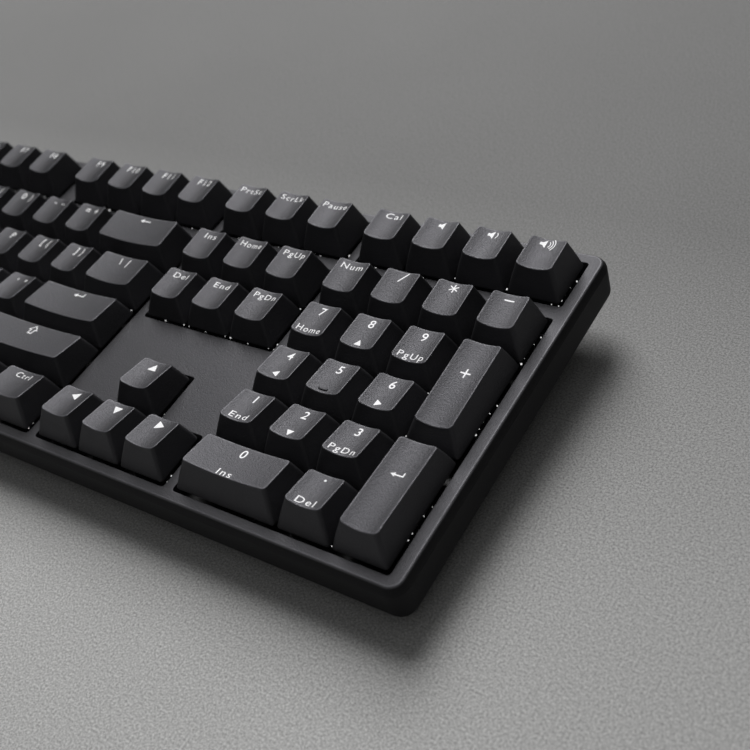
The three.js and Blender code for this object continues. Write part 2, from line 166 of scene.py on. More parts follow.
def noise(tree, vector, scale, detail=3.0, rough=0.55, distortion=0.0):
    return add_node(tree, "TexNoise", {
        "Vector": vector, "Scale": scale, "Detail": detail, "Roughness": rough,
        "Distortion": distortion}).outputs["Fac"]


def ramp(tree, factor, *stops):
    """colour ramp through stops of (position, colour or grey)"""
    node = add_node(tree, "ValToRGB", {"Fac": factor})
    elements = node.color_ramp.elements
    while len(elements) < len(stops):
        elements.new(0.5)
    for element, (position, colour) in zip(elements, stops):
        element.position = position
        element.color = rgba(colour)
    return node.outputs["Color"]


def map_range(tree, value, source, target):
    return add_node(tree, "MapRange", {
        "Value": value, "From Min": source[0], "From Max": source[1],
        "To Min": target[0], "To Max": target[1]}).outputs["Result"]


def mix_colour(tree, first, second, factor, mode="MIX"):
    # sockets 6 and 7 are the colour inputs of the mix node, output 2 its colour
    return add_node(tree, "Mix", {"Factor": factor, 6: first, 7: second},
                    data_type="RGBA", blend_type=mode).outputs[2]


def bump(tree, bsdf, *layers):
    """layers of (height socket, distance in mm, strength), the last outermost"""
    normal = None
    for height, distance, strength in layers:
        node = add_node(tree, "Bump", {
            "Height": height, "Distance": distance * MM, "Strength": strength})
        if normal:
            tree.links.new(normal, node.inputs["Normal"])
        normal = node.outputs["Normal"]
    tree.links.new(normal, bsdf.inputs["Normal"])


def plastic(name, dark, light, rough, grain, grain_depth,
            spec=0.5, coat=0.0, rim=0.0, pebble=0.0, emit=0.0):
    """moulded plastic: fine grain, patchy gloss and colour, and at a marked rim a painted
    highlight, paler and glossier

    rough is the range of roughness; grain, grain_depth and pebble (a coarser relief) are in mm.
    """
    material, tree, bsdf, vector = new_material(name)
    fine = noise(tree, vector, scale=1.0 / (grain * MM), detail=2.0, rough=0.6)
    coarse = noise(tree, vector, scale=90.0, detail=4.0, rough=0.6, distortion=0.4)
    colour = ramp(tree, coarse, (0.32, dark), (0.68, light))
    # painted highlight: the rim attribute mixes in a colour three times paler along a marked edge,
    # where light would catch it
    if rim > 0:
        mark = add_node(tree, "Attribute", {}, attribute_type="GEOMETRY", attribute_name="rim")
        rim_highlight = add_node(tree, "Math", {0: mark.outputs["Fac"], 1: rim},
                        operation="MULTIPLY").outputs[0]
        pale = rgba(tuple(3.0 * channel for channel in light))
        colour = mix_colour(tree, colour, pale, rim_highlight)
    speck = ramp(tree, fine, (0.25, 0.86), (0.75, 1.12))
    colour = mix_colour(tree, colour, speck, 1.0, "MULTIPLY")
    gloss = mix_colour(tree, coarse, fine, 0.5)
    roughness = map_range(tree, gloss, source=(0.3, 0.7), target=rough)
    if rim > 0:
        polish = -0.16              # change of roughness where the rim highlight is full
        roughness = add_node(tree, "Math", {0: rim_highlight, 1: polish, 2: roughness},
                             operation="MULTIPLY_ADD").outputs[0]
    set_inputs(tree, bsdf, {
        "Base Color": colour, "Roughness": roughness, "Specular IOR Level": spec,
        "Specular Tint": (0.935, 0.925, 1.0, 1), "Coat Weight": coat})
    # emission is a painted glow on a part that is no lamp
    if emit > 0:
        set_inputs(tree, bsdf, {"Emission Color": (1, 1, 1, 1), "Emission Strength": emit})
    layers = [(fine, grain_depth, 1.0), (coarse, 0.02, 0.4)]
    if pebble > 0:
        pebbles = noise(tree, vector, scale=1.0 / (0.55 * MM), detail=3.0, rough=0.7)
        layers.insert(1, (pebbles, pebble, 1.0))
    bump(tree, bsdf, *layers)
    return material


def cover_gloss():
    material, tree, bsdf, vector = new_material("switch_cover_gloss")
    fine = noise(tree, vector, scale=400.0, detail=2.0)
    set_inputs(tree, bsdf, {
        "Base Color": ramp(tree, fine, (0.3, (0.020, 0.020, 0.022)), (0.7, (0.032, 0.032, 0.034))),
        "Roughness": ramp(tree, fine, (0.3, 0.10), (0.7, 0.18)),
        "Coat Weight": 1.0, "Coat Roughness": 0.06})
    bump(tree, bsdf, (fine, 0.004, 0.5))
    return material


def brushed_metal(name, colour, rough):
    """metal with fine lines along x"""
    material, tree, bsdf, vector = new_material(name)
    stretched = add_node(tree, "Mapping", {"Vector": vector, "Scale": (0.06, 1, 1)})
    lines = noise(tree, stretched.outputs["Vector"], scale=700.0)
    dark = tuple(channel * 0.85 for channel in colour)
    set_inputs(tree, bsdf, {
        "Base Color": ramp(tree, lines, (0.3, dark), (0.7, colour)),
        "Roughness": ramp(tree, lines, (0.3, rough * 0.8), (0.7, rough * 1.3)),
        "Metallic": 1.0})
    bump(tree, bsdf, (lines, 0.004, 0.5))
    return material


def powder_coat():
    material, tree, bsdf, vector = new_material("plate_powder_coat")
    peel = noise(tree, vector, scale=1400.0, detail=2.0)
    blotch = noise(tree, vector, scale=120.0)
    set_inputs(tree, bsdf, {
        "Base Color": ramp(tree, blotch, (0.3, 0.010), (0.7, 0.016)),
        "Roughness": ramp(tree, blotch, (0.3, 0.32), (0.7, 0.45))})
    bump(tree, bsdf, (peel, 0.02, 0.6))
    return material


# rim=1.0 paints a pale highlight along the caps' top edges
CAP_MAT = plastic("keycap_plastic", dark=(0.027, 0.027, 0.029), light=(0.035, 0.035, 0.038),
                  rough=(0.37, 0.51), grain=0.16, grain_depth=0.010, spec=0.56, rim=1.0,
                  pebble=0.17)
# rim=0.8 paints a pale highlight along the case's top edge
CASE_MAT = plastic("case_top_plastic", dark=(0.026, 0.026, 0.027), light=(0.033, 0.033, 0.035),
                   rough=(0.42, 0.56), grain=0.22, grain_depth=0.012, rim=0.8, pebble=0.10)
# darker than the top case: partly the tray's own finish, partly painted shade for walls that stand
# in shadow
TRAY_AND_SIDE_SHADE_MAT = plastic("case_tray_plastic_with_painted_shade", dark=0.008, light=0.012, rough=(0.54, 0.66),
                   grain=0.22, grain_depth=0.012, spec=0.22, pebble=0.07)
FOOT_MAT = plastic("foot_plastic", dark=0.020, light=0.026, rough=(0.42, 0.56),
                   grain=0.25, grain_depth=0.012, spec=0.45, pebble=0.03)
# the ink's emission is a painted glow that makes the legends brighter than lit ink
LEGEND_MAT = plastic("legend_ink", dark=0.86, light=0.90, rough=(0.40, 0.5),
                     grain=0.2, grain_depth=0.004, emit=0.22)
HOUSING_MAT = plastic("switch_housing_nylon", dark=0.018, light=0.026, rough=(0.22, 0.34),
                      grain=0.3, grain_depth=0.004)
STEM_MAT = plastic("switch_stem_acetal", dark=(0.030, 0.030, 0.033), light=(0.042, 0.042, 0.046),
                   rough=(0.25, 0.4), grain=0.3, grain_depth=0.003)
RUBBER_MAT = plastic("pad_rubber", dark=0.016, light=0.024, rough=(0.68, 0.85),
                     grain=0.35, grain_depth=0.03, spec=0.3)
# pale glowing beads: painted glints where light would catch the switch housings' edges
GLINT_BEAD_MAT = plastic("painted_glint_bead", dark=(0.55, 0.56, 0.58), light=(0.62, 0.63, 0.65),
                   rough=(0.12, 0.2), grain=0.3, grain_depth=0.002, spec=0.6, coat=0.8, emit=0.75)
COVER_MAT = cover_gloss()
STEEL_MAT = brushed_metal("bright_plated_steel", colour=(0.62, 0.63, 0.65), rough=0.25)
SCREW_MAT = brushed_metal("black_zinc_screw", colour=(0.10, 0.10, 0.11), rough=0.35)
PLATE_MAT = powder_coat()
BOARD_MAT = plastic("board_lacquer", dark=(0.010, 0.028, 0.018), light=(0.014, 0.036, 0.022),
                    rough=(0.25, 0.38), grain=0.4, grain_depth=0.004)


# ----------------------------------------------------------- mesh helpers
def shade(mesh, sharp=None):
    """smooth shading, with sharp edges above an angle in degrees"""
    mesh.polygons.foreach_set("use_smooth", [True] * len(mesh.polygons))
    if sharp is not None:
        mesh.set_sharp_from_angle(angle=math.radians(sharp))


def make_object(name, verts, faces, material, deck=True, sharp=None, rim=None):
    """verts are in mm, in the deck frame unless deck is False; the object stays at the origin"""
    mesh = bpy.data.meshes.new(name)
    points = deck_to_world(verts) if deck else np.asarray(verts, float)
    mesh.from_pydata((points * MM).tolist(), [], [list(face) for face in faces])
    mesh.materials.append(material)
    mesh.validate()
    bm = bmesh.new()
    bm.from_mesh(mesh)
    bmesh.ops.recalc_face_normals(bm, faces=bm.faces)
    bm.to_mesh(mesh)
    bm.free()
    shade(mesh, sharp)
    mesh.update()
    if rim is not None:
        mesh.attributes.new("rim", "FLOAT", "POINT").data.foreach_set("value", rim)
    ob = bpy.data.objects.new(name, mesh)
    bpy.context.scene.collection.objects.link(ob)
    return ob


def register(ob, body, replaces=None):
    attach(ob, body)
    if replaces:
        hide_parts(replaces)


def add_weighted_normals(ob):
    modifier = ob.modifiers.new("weighted", "WEIGHTED_NORMAL")
    modifier.keep_sharp = True
    return modifier


def bezier(start, control, end, t):
    return (1 - t) ** 2 * start + 2 * t * (1 - t) * control + t * t * end


def unit(vector):
    return vector / np.linalg.norm(vector)


def rounded_rect(x, y, width, depth, radius, steps=5, nx=1, ny=1, support=0.0):
    """counter-clockwise loop that starts at the front right corner

    steps is the segments of a corner, nx and ny the inner points of a side along x and y;
    support adds a point at that distance from each end of a side.
    """
    radius = max(radius, 1e-3)
    half_x, half_y = width / 2 - radius, depth / 2 - radius
    corners = [(half_x, -half_y, -90), (half_x, half_y, 0),
               (-half_x, half_y, 90), (-half_x, -half_y, 180)]
    points = []
    for i, (corner_x, corner_y, start) in enumerate(corners):
        for k in range(steps + 1):
            angle = math.radians(start + 90.0 * k / steps)
            points.append((x + corner_x + radius * math.cos(angle),
                           y + corner_y + radius * math.sin(angle)))
        next_x, next_y, next_start = corners[(i + 1) % 4]
        angle = math.radians(next_start)
        from_x, from_y = points[-1]
        to_x = x + next_x + radius * math.cos(angle)
        to_y = y + next_y + radius * math.sin(angle)
        count = ny if i in (0, 2) else nx
        along = [(k + 1) / (count + 1) for k in range(count)]
        if support > 0:
            near = support / max(1e-6, math.hypot(to_x - from_x, to_y - from_y))
            along = [near] + along + [1 - near]
        points += [(from_x + (to_x - from_x) * t, from_y + (to_y - from_y) * t) for t in along]
    return np.array(points)


def full_turn(count):
    return np.linspace(0, 2 * math.pi, count, endpoint=False)


def ellipse(x, y, angles, radius_x, radius_y=None):
    radius_y = radius_x if radius_y is None else radius_y
    return np.column_stack([x + radius_x * np.cos(angles), y + radius_y * np.sin(angles)])


def cross_radius(angles, reach, half_width):
    """distance from the centre of a plus shape to its outline"""
    cosine = np.maximum(np.abs(np.cos(angles)), 1e-6)
    sine = np.maximum(np.abs(np.sin(angles)), 1e-6)
    return np.maximum(np.minimum(reach / cosine, half_width / sine),
                      np.minimum(half_width / cosine, reach / sine))


def lift(loop, z):
    """flat loop raised to z, one height or one for each point"""
    return np.column_stack([loop, np.broadcast_to(z, len(loop))])


class Solid:
    """mesh grown ring by ring; joined rings have the same number of points"""

    def __init__(self):
        self.verts, self.faces, self.last, self.rim = [], [], None, {}

    def rims(self):
        return [self.rim.get(i, 0.0) for i in range(len(self.verts))]

    def join(self, first, second):
        count = len(first)
        for i in range(count):
            j = (i + 1) % count
            self.faces.append((first[i], first[j], second[j], second[i]))

    def ring(self, points, rim=0.0):
        base = len(self.verts)
        self.verts += [tuple(point) for point in points]
        ids = list(range(base, base + len(points)))
        if rim:
            self.rim.update((i, rim) for i in ids)
        if self.last is not None:
            self.join(self.last, ids)
        self.last = ids
        return ids

    def cap(self, point):
        """fan over the last ring"""
        ring, centre = self.last, len(self.verts)
        self.verts.append(tuple(point))
        self.faces += [(ring[i], ring[(i + 1) % len(ring)], centre) for i in range(len(ring))]

    def start_cap(self, ring, point):
        centre = len(self.verts)
        self.verts.append(tuple(point))
        self.faces += [(ring[(i + 1) % len(ring)], ring[i], centre) for i in range(len(ring))]

    def add(self, other):
        base = len(self.verts)
        self.verts += other.verts
        self.faces += [tuple(i + base for i in face) for face in other.faces]


def capped(rings, start, end):
    """closed solid through rings, with a fan to a point at each end"""
    solid = Solid()
    ids = [solid.ring(ring) for ring in rings]
    solid.cap(end)
    solid.start_cap(ids[0], start)
    return solid


def level_rings(x, y, levels, steps):
    return [lift(rounded_rect(x, y, width, depth, radius, steps), z)
            for width, depth, radius, z in levels]


def level_solid(x, y, levels, steps):
    """closed solid through rounded rectangles of (width, depth, radius, z)"""
    return capped(level_rings(x, y, levels, steps), (x, y, levels[0][3]), (x, y, levels[-1][3]))


def level_frame(x, y, levels, steps):
    """closed frame: its levels run up the outside and down the inside to the first"""
    solid = Solid()
    ids = [solid.ring(ring) for ring in level_rings(x, y, levels, steps)]
    solid.join(ids[-1], ids[0])
    return solid


# ----------------------------------------------------------------- a key
CAP_GAP, CAP_WALL, CAP_TOP_WIDTH = 0.85, 1.3, 12.36
DISH = 1.1                          # depth of the hollow
BOW_FRONT, BOW_BACK = 0.38, 0.12    # how far the edges of the top bulge outwards in plan

# top of a cap: height over the deck, tilt in degrees, shift to the back, depth along the slope
ROWS = [(16.90, 3.4, 0.93, 12.66), (16.94, 4.0, 0.75, 12.83), (15.03, 0.2, 1.03, 13.00),
        (14.32, -5.6, 1.19, 13.25), (14.72, -10.4, 1.46, 13.03), (14.73, -9.6, 1.81, 12.70)]
TALL_PLUS = (14.81, 2.44, 1.13, 31.22)
TALL_ENTER = (15.18, -2.5, 1.09, 31.66)


class Key:
    """width is in units; x and y are the key's centre; row 0 is the function row at the back"""

    def __init__(self, name, body, left, width, row, legends, rows=1, profile=None, convex=False):
        self.name, self.body, self.width, self.rows = name, body, width, rows
        self.x = left + width * UNIT / 2
        front = FUNCTION_Y if row == 0 else GRID_Y + (5 - row) * UNIT
        self.y = front + (0 if rows == 2 else UNIT / 2)
        self.top, tilt, shift, self.depth = profile or ROWS[row]
        self.tilt = math.radians(tilt)
        self.top_y = self.y + shift
        self.shift = shift
        self.top_width = CAP_TOP_WIDTH + (width - 1) * UNIT
        self.legends, self.convex = legends, convex
        self.bar = name in ("pad_5", "letter_f", "letter_j")
        if rows == 2:
            # a tall key is centred on the line between its two rows
            self.y = front

    def surface(self, x, y):
        """height of the top face at a deck point, hollow or crown included"""
        across = np.clip((np.asarray(x) - self.x) / (self.top_width / 2), -1.15, 1.15)
        along = np.asarray(y) - self.y - self.shift
        plane = self.top + along * math.tan(self.tilt)
        if self.convex:
            return plane - 0.25 - 0.55 * (along / (self.depth / 2)) ** 2
        return plane - DISH * (1 - across * across)


CORNER_STEPS = 5
SKIRT_RADIUS, TOP_RADIUS, FILLET = 1.1, 1.25, 0.42
CEILING = 1.55                      # from the top face to the ceiling inside
INNER_RADIUS = 0.7
SOCKET_RADIUS, SOCKET_BOTTOM, SOCKET_ROOF = 2.75, 7.2, 10.9
SOCKET_REACH, SOCKET_HALF_WIDTH = 2.1, 0.66
WALL_STATIONS = (0.0, 0.03, 0.3, 0.6, 0.85, 0.97, 1.0)
# angle round the fillet in degrees, weight of the painted rim highlight
FILLET_STATIONS = ((20, 0.0), (40, 0.45), (60, 0.9), (78, 1.0), (90, 0.8))


def cap_solid(key):
    width, depth = key.width * UNIT - CAP_GAP, key.rows * UNIT - CAP_GAP
    top_width, top_depth = key.top_width, key.depth * math.cos(key.tilt)
    if key.width < 1.6:
        nx, bow = 9, 1.0
    elif key.width < 3:
        nx, bow = 14, 0.5
    else:
        nx, bow = 30, 0.0
    ny = 3 if key.rows == 1 else 8

    def outline(y, width, depth, radius, bulge=0.0):
        loop = rounded_rect(key.x, y, width, depth, radius, CORNER_STEPS, nx, ny, 0.35)
        across = (loop[:, 0] - key.x) / (width / 2)
        along = (loop[:, 1] - y) / (depth / 2)
        loop[:, 1] += (np.where(along < 0, -BOW_FRONT, BOW_BACK) * bulge
                       * np.clip(1 - across * across, 0, 1)
                       * np.clip(np.abs(along) * 6 - 5, 0, 1))
        return loop

    def base_outline(inset, radius):
        return outline(key.y, width - 2 * inset, depth - 2 * inset, radius)

    def top_outline(inset, radius, bulge=0.0):
        return outline(key.top_y, top_width - 2 * inset, top_depth - 2 * inset, radius, bulge)

    def on_surface(loop, drop=0.0):
        return lift(loop, key.surface(loop[:, 0], loop[:, 1]) - drop)

    # lower edge of the skirt, from its inner lip outwards
    solid = Solid()
    lip = solid.ring(lift(base_outline(CAP_WALL - 0.25, INNER_RADIUS), RING_TOP + 0.02))
    solid.ring(lift(base_outline(0.15, SKIRT_RADIUS - 0.15), RING_TOP))
    solid.ring(lift(base_outline(0.025, SKIRT_RADIUS), RING_TOP + 0.12))

    # outer walls, which swell very slightly between skirt and top
    bottom = lift(base_outline(0.0, SKIRT_RADIUS), RING_TOP + 0.35)
    top = on_surface(top_outline(0.0, TOP_RADIUS, bow), FILLET)
    for t in WALL_STATIONS:
        points = bottom * (1 - t) + top * t
        swell = 1 + 0.012 * math.sin(math.pi * t) / max(1.0, key.width)
        centre = np.array([key.x, key.y * (1 - t) + key.top_y * t])
        points[:, :2] = centre + (points[:, :2] - centre) * swell
        solid.ring(points)

    # fillet over the top edge; its crest carries the painted rim highlight
    for degrees, rim_highlight in FILLET_STATIONS:
        angle = math.radians(degrees)
        inset = FILLET * (1 - math.cos(angle))
        loop = top_outline(inset, TOP_RADIUS - inset * 0.8, bow)
        solid.ring(on_surface(loop, FILLET * (1 - math.sin(angle))), rim=rim_highlight)
    for inset, rim_highlight in ((0.62, 0.12), (1.1, 0.0)):
        loop = top_outline(inset, TOP_RADIUS - inset * 0.5, bow * (1 - inset / 6))
        solid.ring(on_surface(loop), rim=rim_highlight)

    # inside the last ring is a grid, one column for each pair of front and back points
    ids = solid.last
    side, across = 2 * (CORNER_STEPS + 1) + ny + 2, nx + 2
    right = ids[:side]
    left = ids[side + across:2 * side + across][::-1]
    side_y = np.array([solid.verts[i][1] for i in right])
    fractions = (side_y - side_y[0]) / (side_y[-1] - side_y[0])
    columns = [left]
    for j in range(across):
        front_id, back_id = ids[2 * side + across + j], ids[side + across - 1 - j]
        front, back = np.array(solid.verts[front_id][:2]), np.array(solid.verts[back_id][:2])
        column = [front_id]
        for fraction in fractions[1:-1]:
            x, y = front + (back - front) * fraction
            column.append(len(solid.verts))
            solid.verts.append((x, y, float(key.surface(x, y))))
        columns.append(column + [back_id])
    columns.append(right)
    for this, following in zip(columns, columns[1:]):
        for i in range(side - 1):
            solid.faces.append((this[i], following[i], following[i + 1], this[i + 1]))

    # inside walls and ceiling, up from the lip
    solid.last = lip
    inner_bottom = lift(base_outline(CAP_WALL, INNER_RADIUS), RING_TOP + 0.2)
    inner_top = on_surface(top_outline(CAP_WALL, INNER_RADIUS), CEILING)
    for t in (0.0, 0.5, 0.94):
        solid.ring(inner_bottom * (1 - t) + inner_top * t)
    ceiling = on_surface(top_outline(CAP_WALL + 0.25, 0.6), CEILING)
    solid.ring(ceiling)
    angles = np.arctan2((ceiling[:, 1] - key.top_y) / (top_depth / 2 - CAP_WALL),
                        (ceiling[:, 0] - key.x) / (top_width / 2 - CAP_WALL))
    solid.ring(on_surface(ellipse(key.x, key.y + key.shift * 0.6, angles,
                                  5.0 * min(1.0, (top_width / 2 - 2) / 5.0),
                                  5.0 if top_depth > 13.5 else 4.4), CEILING))

    # round boss with a cross-shaped socket for the stem
    boss = ellipse(key.x, key.y, angles, SOCKET_RADIUS)
    solid.ring(on_surface(boss, CEILING))
    solid.ring(lift(boss, SOCKET_BOTTOM + 0.15))
    solid.ring(lift(ellipse(key.x, key.y, angles, SOCKET_RADIUS - 0.15), SOCKET_BOTTOM))
    cross = ellipse(key.x, key.y, angles,
                    cross_radius(angles, SOCKET_REACH, SOCKET_HALF_WIDTH))
    solid.ring(lift(cross, SOCKET_BOTTOM))
    solid.ring(lift(cross, SOCKET_ROOF))
    solid.cap((key.x, key.y, SOCKET_ROOF))
    return solid


# -------------------------------------------------------- legend outlines
# An outline is an array of flat points and a list of faces, centred on its origin.
WORD_WIDTHS = {"Home": 9.0, "PgUp": 8.9, "PgDn": 8.9, "Ins": 5.2, "Del": 6.4, "End": 6.7,
               "Num": 8.3, "Cal": 6.3, "PrtSc": 9.7, "ScrLk": 9.7, "Pause": 9.9,
               "Ctrl": 7.0, "Esc": 6.4, "Alt": 5.6, "Caps": 8.8}


def text_outline(text, size):
    is_word = len(text) > 1
    curve = bpy.data.curves.new("tmp", "FONT")
    curve.body = text
    curve.size = size
    curve.align_x, curve.align_y = "CENTER", "CENTER"
    curve.resolution_u = 4
    curve.offset = (0.001 if is_word else 0.007) * size
    curve.space_character = 1.2 if is_word else 1.0
    ob = bpy.data.objects.new("tmp", curve)
    bpy.context.scene.collection.objects.link(ob)
    bpy.context.view_layer.update()
    evaluated = ob.evaluated_get(bpy.context.evaluated_depsgraph_get())
    mesh = bpy.data.meshes.new_from_object(evaluated)
    points = np.array([tuple(vert.co)[:2] for vert in mesh.vertices])
    faces = [list(face.vertices) for face in mesh.polygons]
    bpy.data.objects.remove(ob)
    bpy.data.curves.remove(curve)
    bpy.data.meshes.remove(mesh)
    points[:, 0] -= (points[:, 0].min() + points[:, 0].max()) / 2
    if text in WORD_WIDTHS:
        points[:, 0] *= WORD_WIDTHS[text] / (points[:, 0].max() - points[:, 0].min())
    # tall text hangs from the top of a capital, small marks are centred
    capital = size * 0.73
    low, high = points[:, 1].min(), points[:, 1].max()
    if high - low >= capital * 0.8:
        points[:, 1] -= high - capital / 2
    else:
        points[:, 1] -= (high + low) / 2
    return points, faces


def polygon(points):
    return np.array(points, float), [list(range(len(points)))]


def merge(parts):
    points, faces, base = [], [], 0
    for part_points, part_faces in parts:
        points.append(part_points)
        faces += [[i + base for i in face] for face in part_faces]
        base += len(part_points)
    return np.vstack(points), faces


def stroke(path, width, closed=False):
    """flat ribbon along a polyline, with round ends when it is open"""
    count = len(path)
    if closed:
        before, after = np.roll(path, 1, 0), np.roll(path, -1, 0)
    else:
        before = np.vstack([path[:1] * 2 - path[1:2], path[:-1]])
        after = np.vstack([path[1:], path[-1:] * 2 - path[-2:-1]])
    arrive = (path - before) / np.linalg.norm(path - before, axis=1)[:, None]
    leave = (after - path) / np.linalg.norm(after - path, axis=1)[:, None]
    arrive_normal = np.column_stack([-arrive[:, 1], arrive[:, 0]])
    leave_normal = np.column_stack([-leave[:, 1], leave[:, 0]])
    mitre = arrive_normal + leave_normal
    mitre /= np.linalg.norm(mitre, axis=1)[:, None]
    mitre *= (1 / np.clip((mitre * arrive_normal).sum(1), 0.5, 1))[:, None]
    left, right = path + mitre * width / 2, path - mitre * width / 2
    if closed:
        return np.vstack([left, right]), [
            [i, count + i, count + (i + 1) % count, (i + 1) % count] for i in range(count)]

    def round_end(centre, side):
        start = math.atan2(side[1], side[0])
        angles = [start + math.pi * k / 6 for k in range(1, 6)]
        return [centre + width / 2 * np.array([math.cos(a), math.sin(a)]) for a in angles]
    points = np.vstack([left, right, round_end(path[0], arrive_normal[0]),
                        round_end(path[-1], -leave_normal[-1])])
    faces = [[i, count + i, count + i + 1, i + 1] for i in range(count - 1)]
    faces.append([0] + [2 * count + k for k in range(5)] + [count])
    faces.append([2 * count - 1] + [2 * count + 5 + k for k in range(5)] + [count - 1])
    return points, faces


def triangle_outline(direction, size):
    """triangle with rounded corners"""
    corners = np.array([(0.45, 0), (-0.375, 0.475), (-0.375, -0.475)]) * size
    rounding = 0.09 * size
    points = []
    for i, corner in enumerate(corners):
        start = corner + unit(corners[i - 1] - corner) * rounding
        end = corner + unit(corners[(i + 1) % 3] - corner) * rounding
        points += [bezier(start, corner, end, t) for t in (0, 0.5, 1)]
    angle = math.radians({"right": 0, "up": 90, "left": 180, "down": 270}[direction])
    cosine, sine = math.cos(angle), math.sin(angle)
    return polygon([(x * cosine - y * sine, x * sine + y * cosine) for x, y in points])


def star_outline(size):
    """six bars that meet in the middle"""
    half_width, reach = 0.2, 0.5 * size
    valley = half_width / math.sin(math.radians(30))
    points = []
    for i in range(6):
        angle = math.radians(60 * i + 30)
        cosine, sine = math.cos(angle), math.sin(angle)
        points += [(reach * cosine + half_width * sine, reach * sine - half_width * cosine),
                   (reach * cosine - half_width * sine, reach * sine + half_width * cosine)]
        angle += math.radians(30)
        points.append((valley * math.cos(angle), valley * math.sin(angle)))
    return polygon(points)


def icon_outline(kind, size):
    """points are in shares of size, line widths in mm"""
    def area(*points):
        return polygon(np.array(points) * size)

    def line(*points, width=0.42, closed=False):
        return stroke(np.array(points, float) * size, width, closed)

    if kind.startswith("tri_"):
        return triangle_outline(kind[4:], size)
    if kind == "star":
        return star_outline(size)
    if kind == "minus":
        return line((-0.42, 0), (0.42, 0), width=0.5)
    if kind == "slash":
        return line((-0.19, -0.3), (0.19, 0.3), width=0.46)
    if kind == "plus":
        half, arm = 0.25, 0.42 * size
        return polygon([(half, arm), (-half, arm), (-half, half), (-arm, half), (-arm, -half),
                        (-half, -half), (-half, -arm), (half, -arm), (half, -half),
                        (arm, -half), (arm, half), (half, half)])
    if kind in ("back", "return"):
        head = area((-0.5, 0), (-0.16, -0.17), (-0.16, 0.17))
        if kind == "back":
            return merge([head, line((-0.18, 0), (0.5, 0))])
        return merge([head, line((-0.18, 0), (0.46, 0), (0.46, 0.26))])
    if kind == "shift":
        return line((0, 0.5), (-0.42, 0.06), (-0.2, 0.06), (-0.2, -0.38),
                    (0.2, -0.38), (0.2, 0.06), (0.42, 0.06), closed=True)
    if kind == "tab":
        return merge([area((0.5, 0.16), (0.2, 0.33), (0.2, -0.01)),
                      line((-0.5, 0.16), (0.22, 0.16), width=0.36),
                      line((0.56, 0.36), (0.56, -0.04), width=0.36)])
    if kind == "diamond":
        return line((0, 0.5), (-0.5, 0), (0, -0.5), (0.5, 0), closed=True)
    if kind == "menu":
        return merge([line((-0.45, y), (0.45, y), width=0.36) for y in (-0.33, 0, 0.33)])
    # speaker followed by its number of sound arcs
    parts = [area((-0.62, 0.14), (-0.62, -0.14), (-0.38, -0.14),
                  (-0.1, -0.4), (-0.1, 0.4), (-0.38, 0.14))]
    for i in range(int(kind[-1])):
        radius = 0.4 + 0.2 * i
        parts.append(line(*ellipse(-0.16, 0, np.linspace(-0.72, 0.72, 9), radius), width=0.28))
    points, faces = merge(parts)
    points[:, 0] -= (points[:, 0].min() + points[:, 0].max()) / 2
    return points, faces


# ----------------------------------------------------------------- layout
# A legend is (outline function, text or icon, offset right, offset back, size), and the
# offsets start at the middle of the cap's top.
WORD_SIZE, LETTER_SIZE, DIGIT_SIZE = 3.3, 4.2, 4.55
PAD_BACK, PAD_FRONT = 3.45, -4.6    # places of the two legends on a number pad key


def word(text, back=3.75, size=WORD_SIZE, right=0.0):
    return text_outline, text, right, back, size


def icon(kind, back, size, right=0.0):
    return icon_outline, kind, right, back, size


def pair(first, second, gap=2.2):
    return (word(first, 3.8, LETTER_SIZE, -gap + 0.3), word(second, 3.8, LETTER_SIZE, gap + 0.3))


def letters(text):
    return [(f"letter_{c.lower()}", 1, word(c, 3.5, LETTER_SIZE)) for c in text]


def digit(text, *front):
    return (f"pad_{text}", 1, word(text, PAD_BACK, DIGIT_SIZE), *front)


def small_triangle(direction):
    return icon("tri_" + direction, PAD_FRONT, 2.7)


keys = []


def add_keys(left, row, items, body=None, **shape):
    """a run of keys of (name, width, *legends); without a body each key moves on its own"""
    for name, width, *legends in items:
        keys.append(Key(name, body or name + "_key", left, width, row, legends, **shape))
        left += width * UNIT


DIAMOND, SHIFT = icon("diamond", 3.7, 3.0), icon("shift", 3.2, 4.4)

# main block
add_keys(GRID_X, 0, [("escape", 1, word("Esc"))])
for body, column, first in (("function_keys_f1_f4", 2, 1), ("function_keys_f5_f8", 6.5, 5),
                            ("function_keys_f9_f12", 11, 9)):
    add_keys(GRID_X + column * UNIT, 0,
             [(f"f{n}", 1, word(f"F{n}", 3.7, 3.9, 0.3)) for n in range(first, first + 4)], body)
add_keys(GRID_X, 1, [
    ("grave", 1, *pair("~", "`")),
    *[(f"digit_{low}", 1, *pair(low, high)) for low, high in zip("1234567890", "!@#$%^&*()")],
    ("hyphen", 1, *pair("-", "_")), ("equals", 1, *pair("=", "+")),
    ("backspace", 2, icon("back", 4.3, 5.0, 0.1))], "number_row_keys")
add_keys(GRID_X, 2, [
    ("tab", 1.5, icon("tab", 3.6, 3.6)), *letters("QWERTYUIOP"),
    ("bracket_left", 1, *pair("[", "{", 1.6)), ("bracket_right", 1, *pair("]", "}", 1.6)),
    ("backslash", 1.5, *pair("\\", "|", 1.9))], "top_letter_row_keys")
add_keys(GRID_X, 3, [
    ("caps_lock", 1.75, word("Caps")), *letters("ASDFGHJKL"),
    ("semicolon", 1, *pair(";", ":")), ("quote", 1, *pair("'", '"')),
    ("enter", 2.25, icon("return", 4.0, 4.9, 0.2))], "home_letter_row_keys")
add_keys(GRID_X, 4, [
    ("shift_left", 2.25, SHIFT), *letters("ZXCVBNM"),
    ("comma", 1, *pair(",", "<")), ("period", 1, *pair(".", ">")), ("slash", 1, *pair("/", "?")),
    ("shift_right", 2.75, SHIFT)], "lower_letter_row_keys")
add_keys(GRID_X, 5, [
    ("control_left", 1.25, word("Ctrl")), ("system_left", 1.25, DIAMOND),
    ("alt_left", 1.25, word("Alt"))], "bottom_row_left_keys")
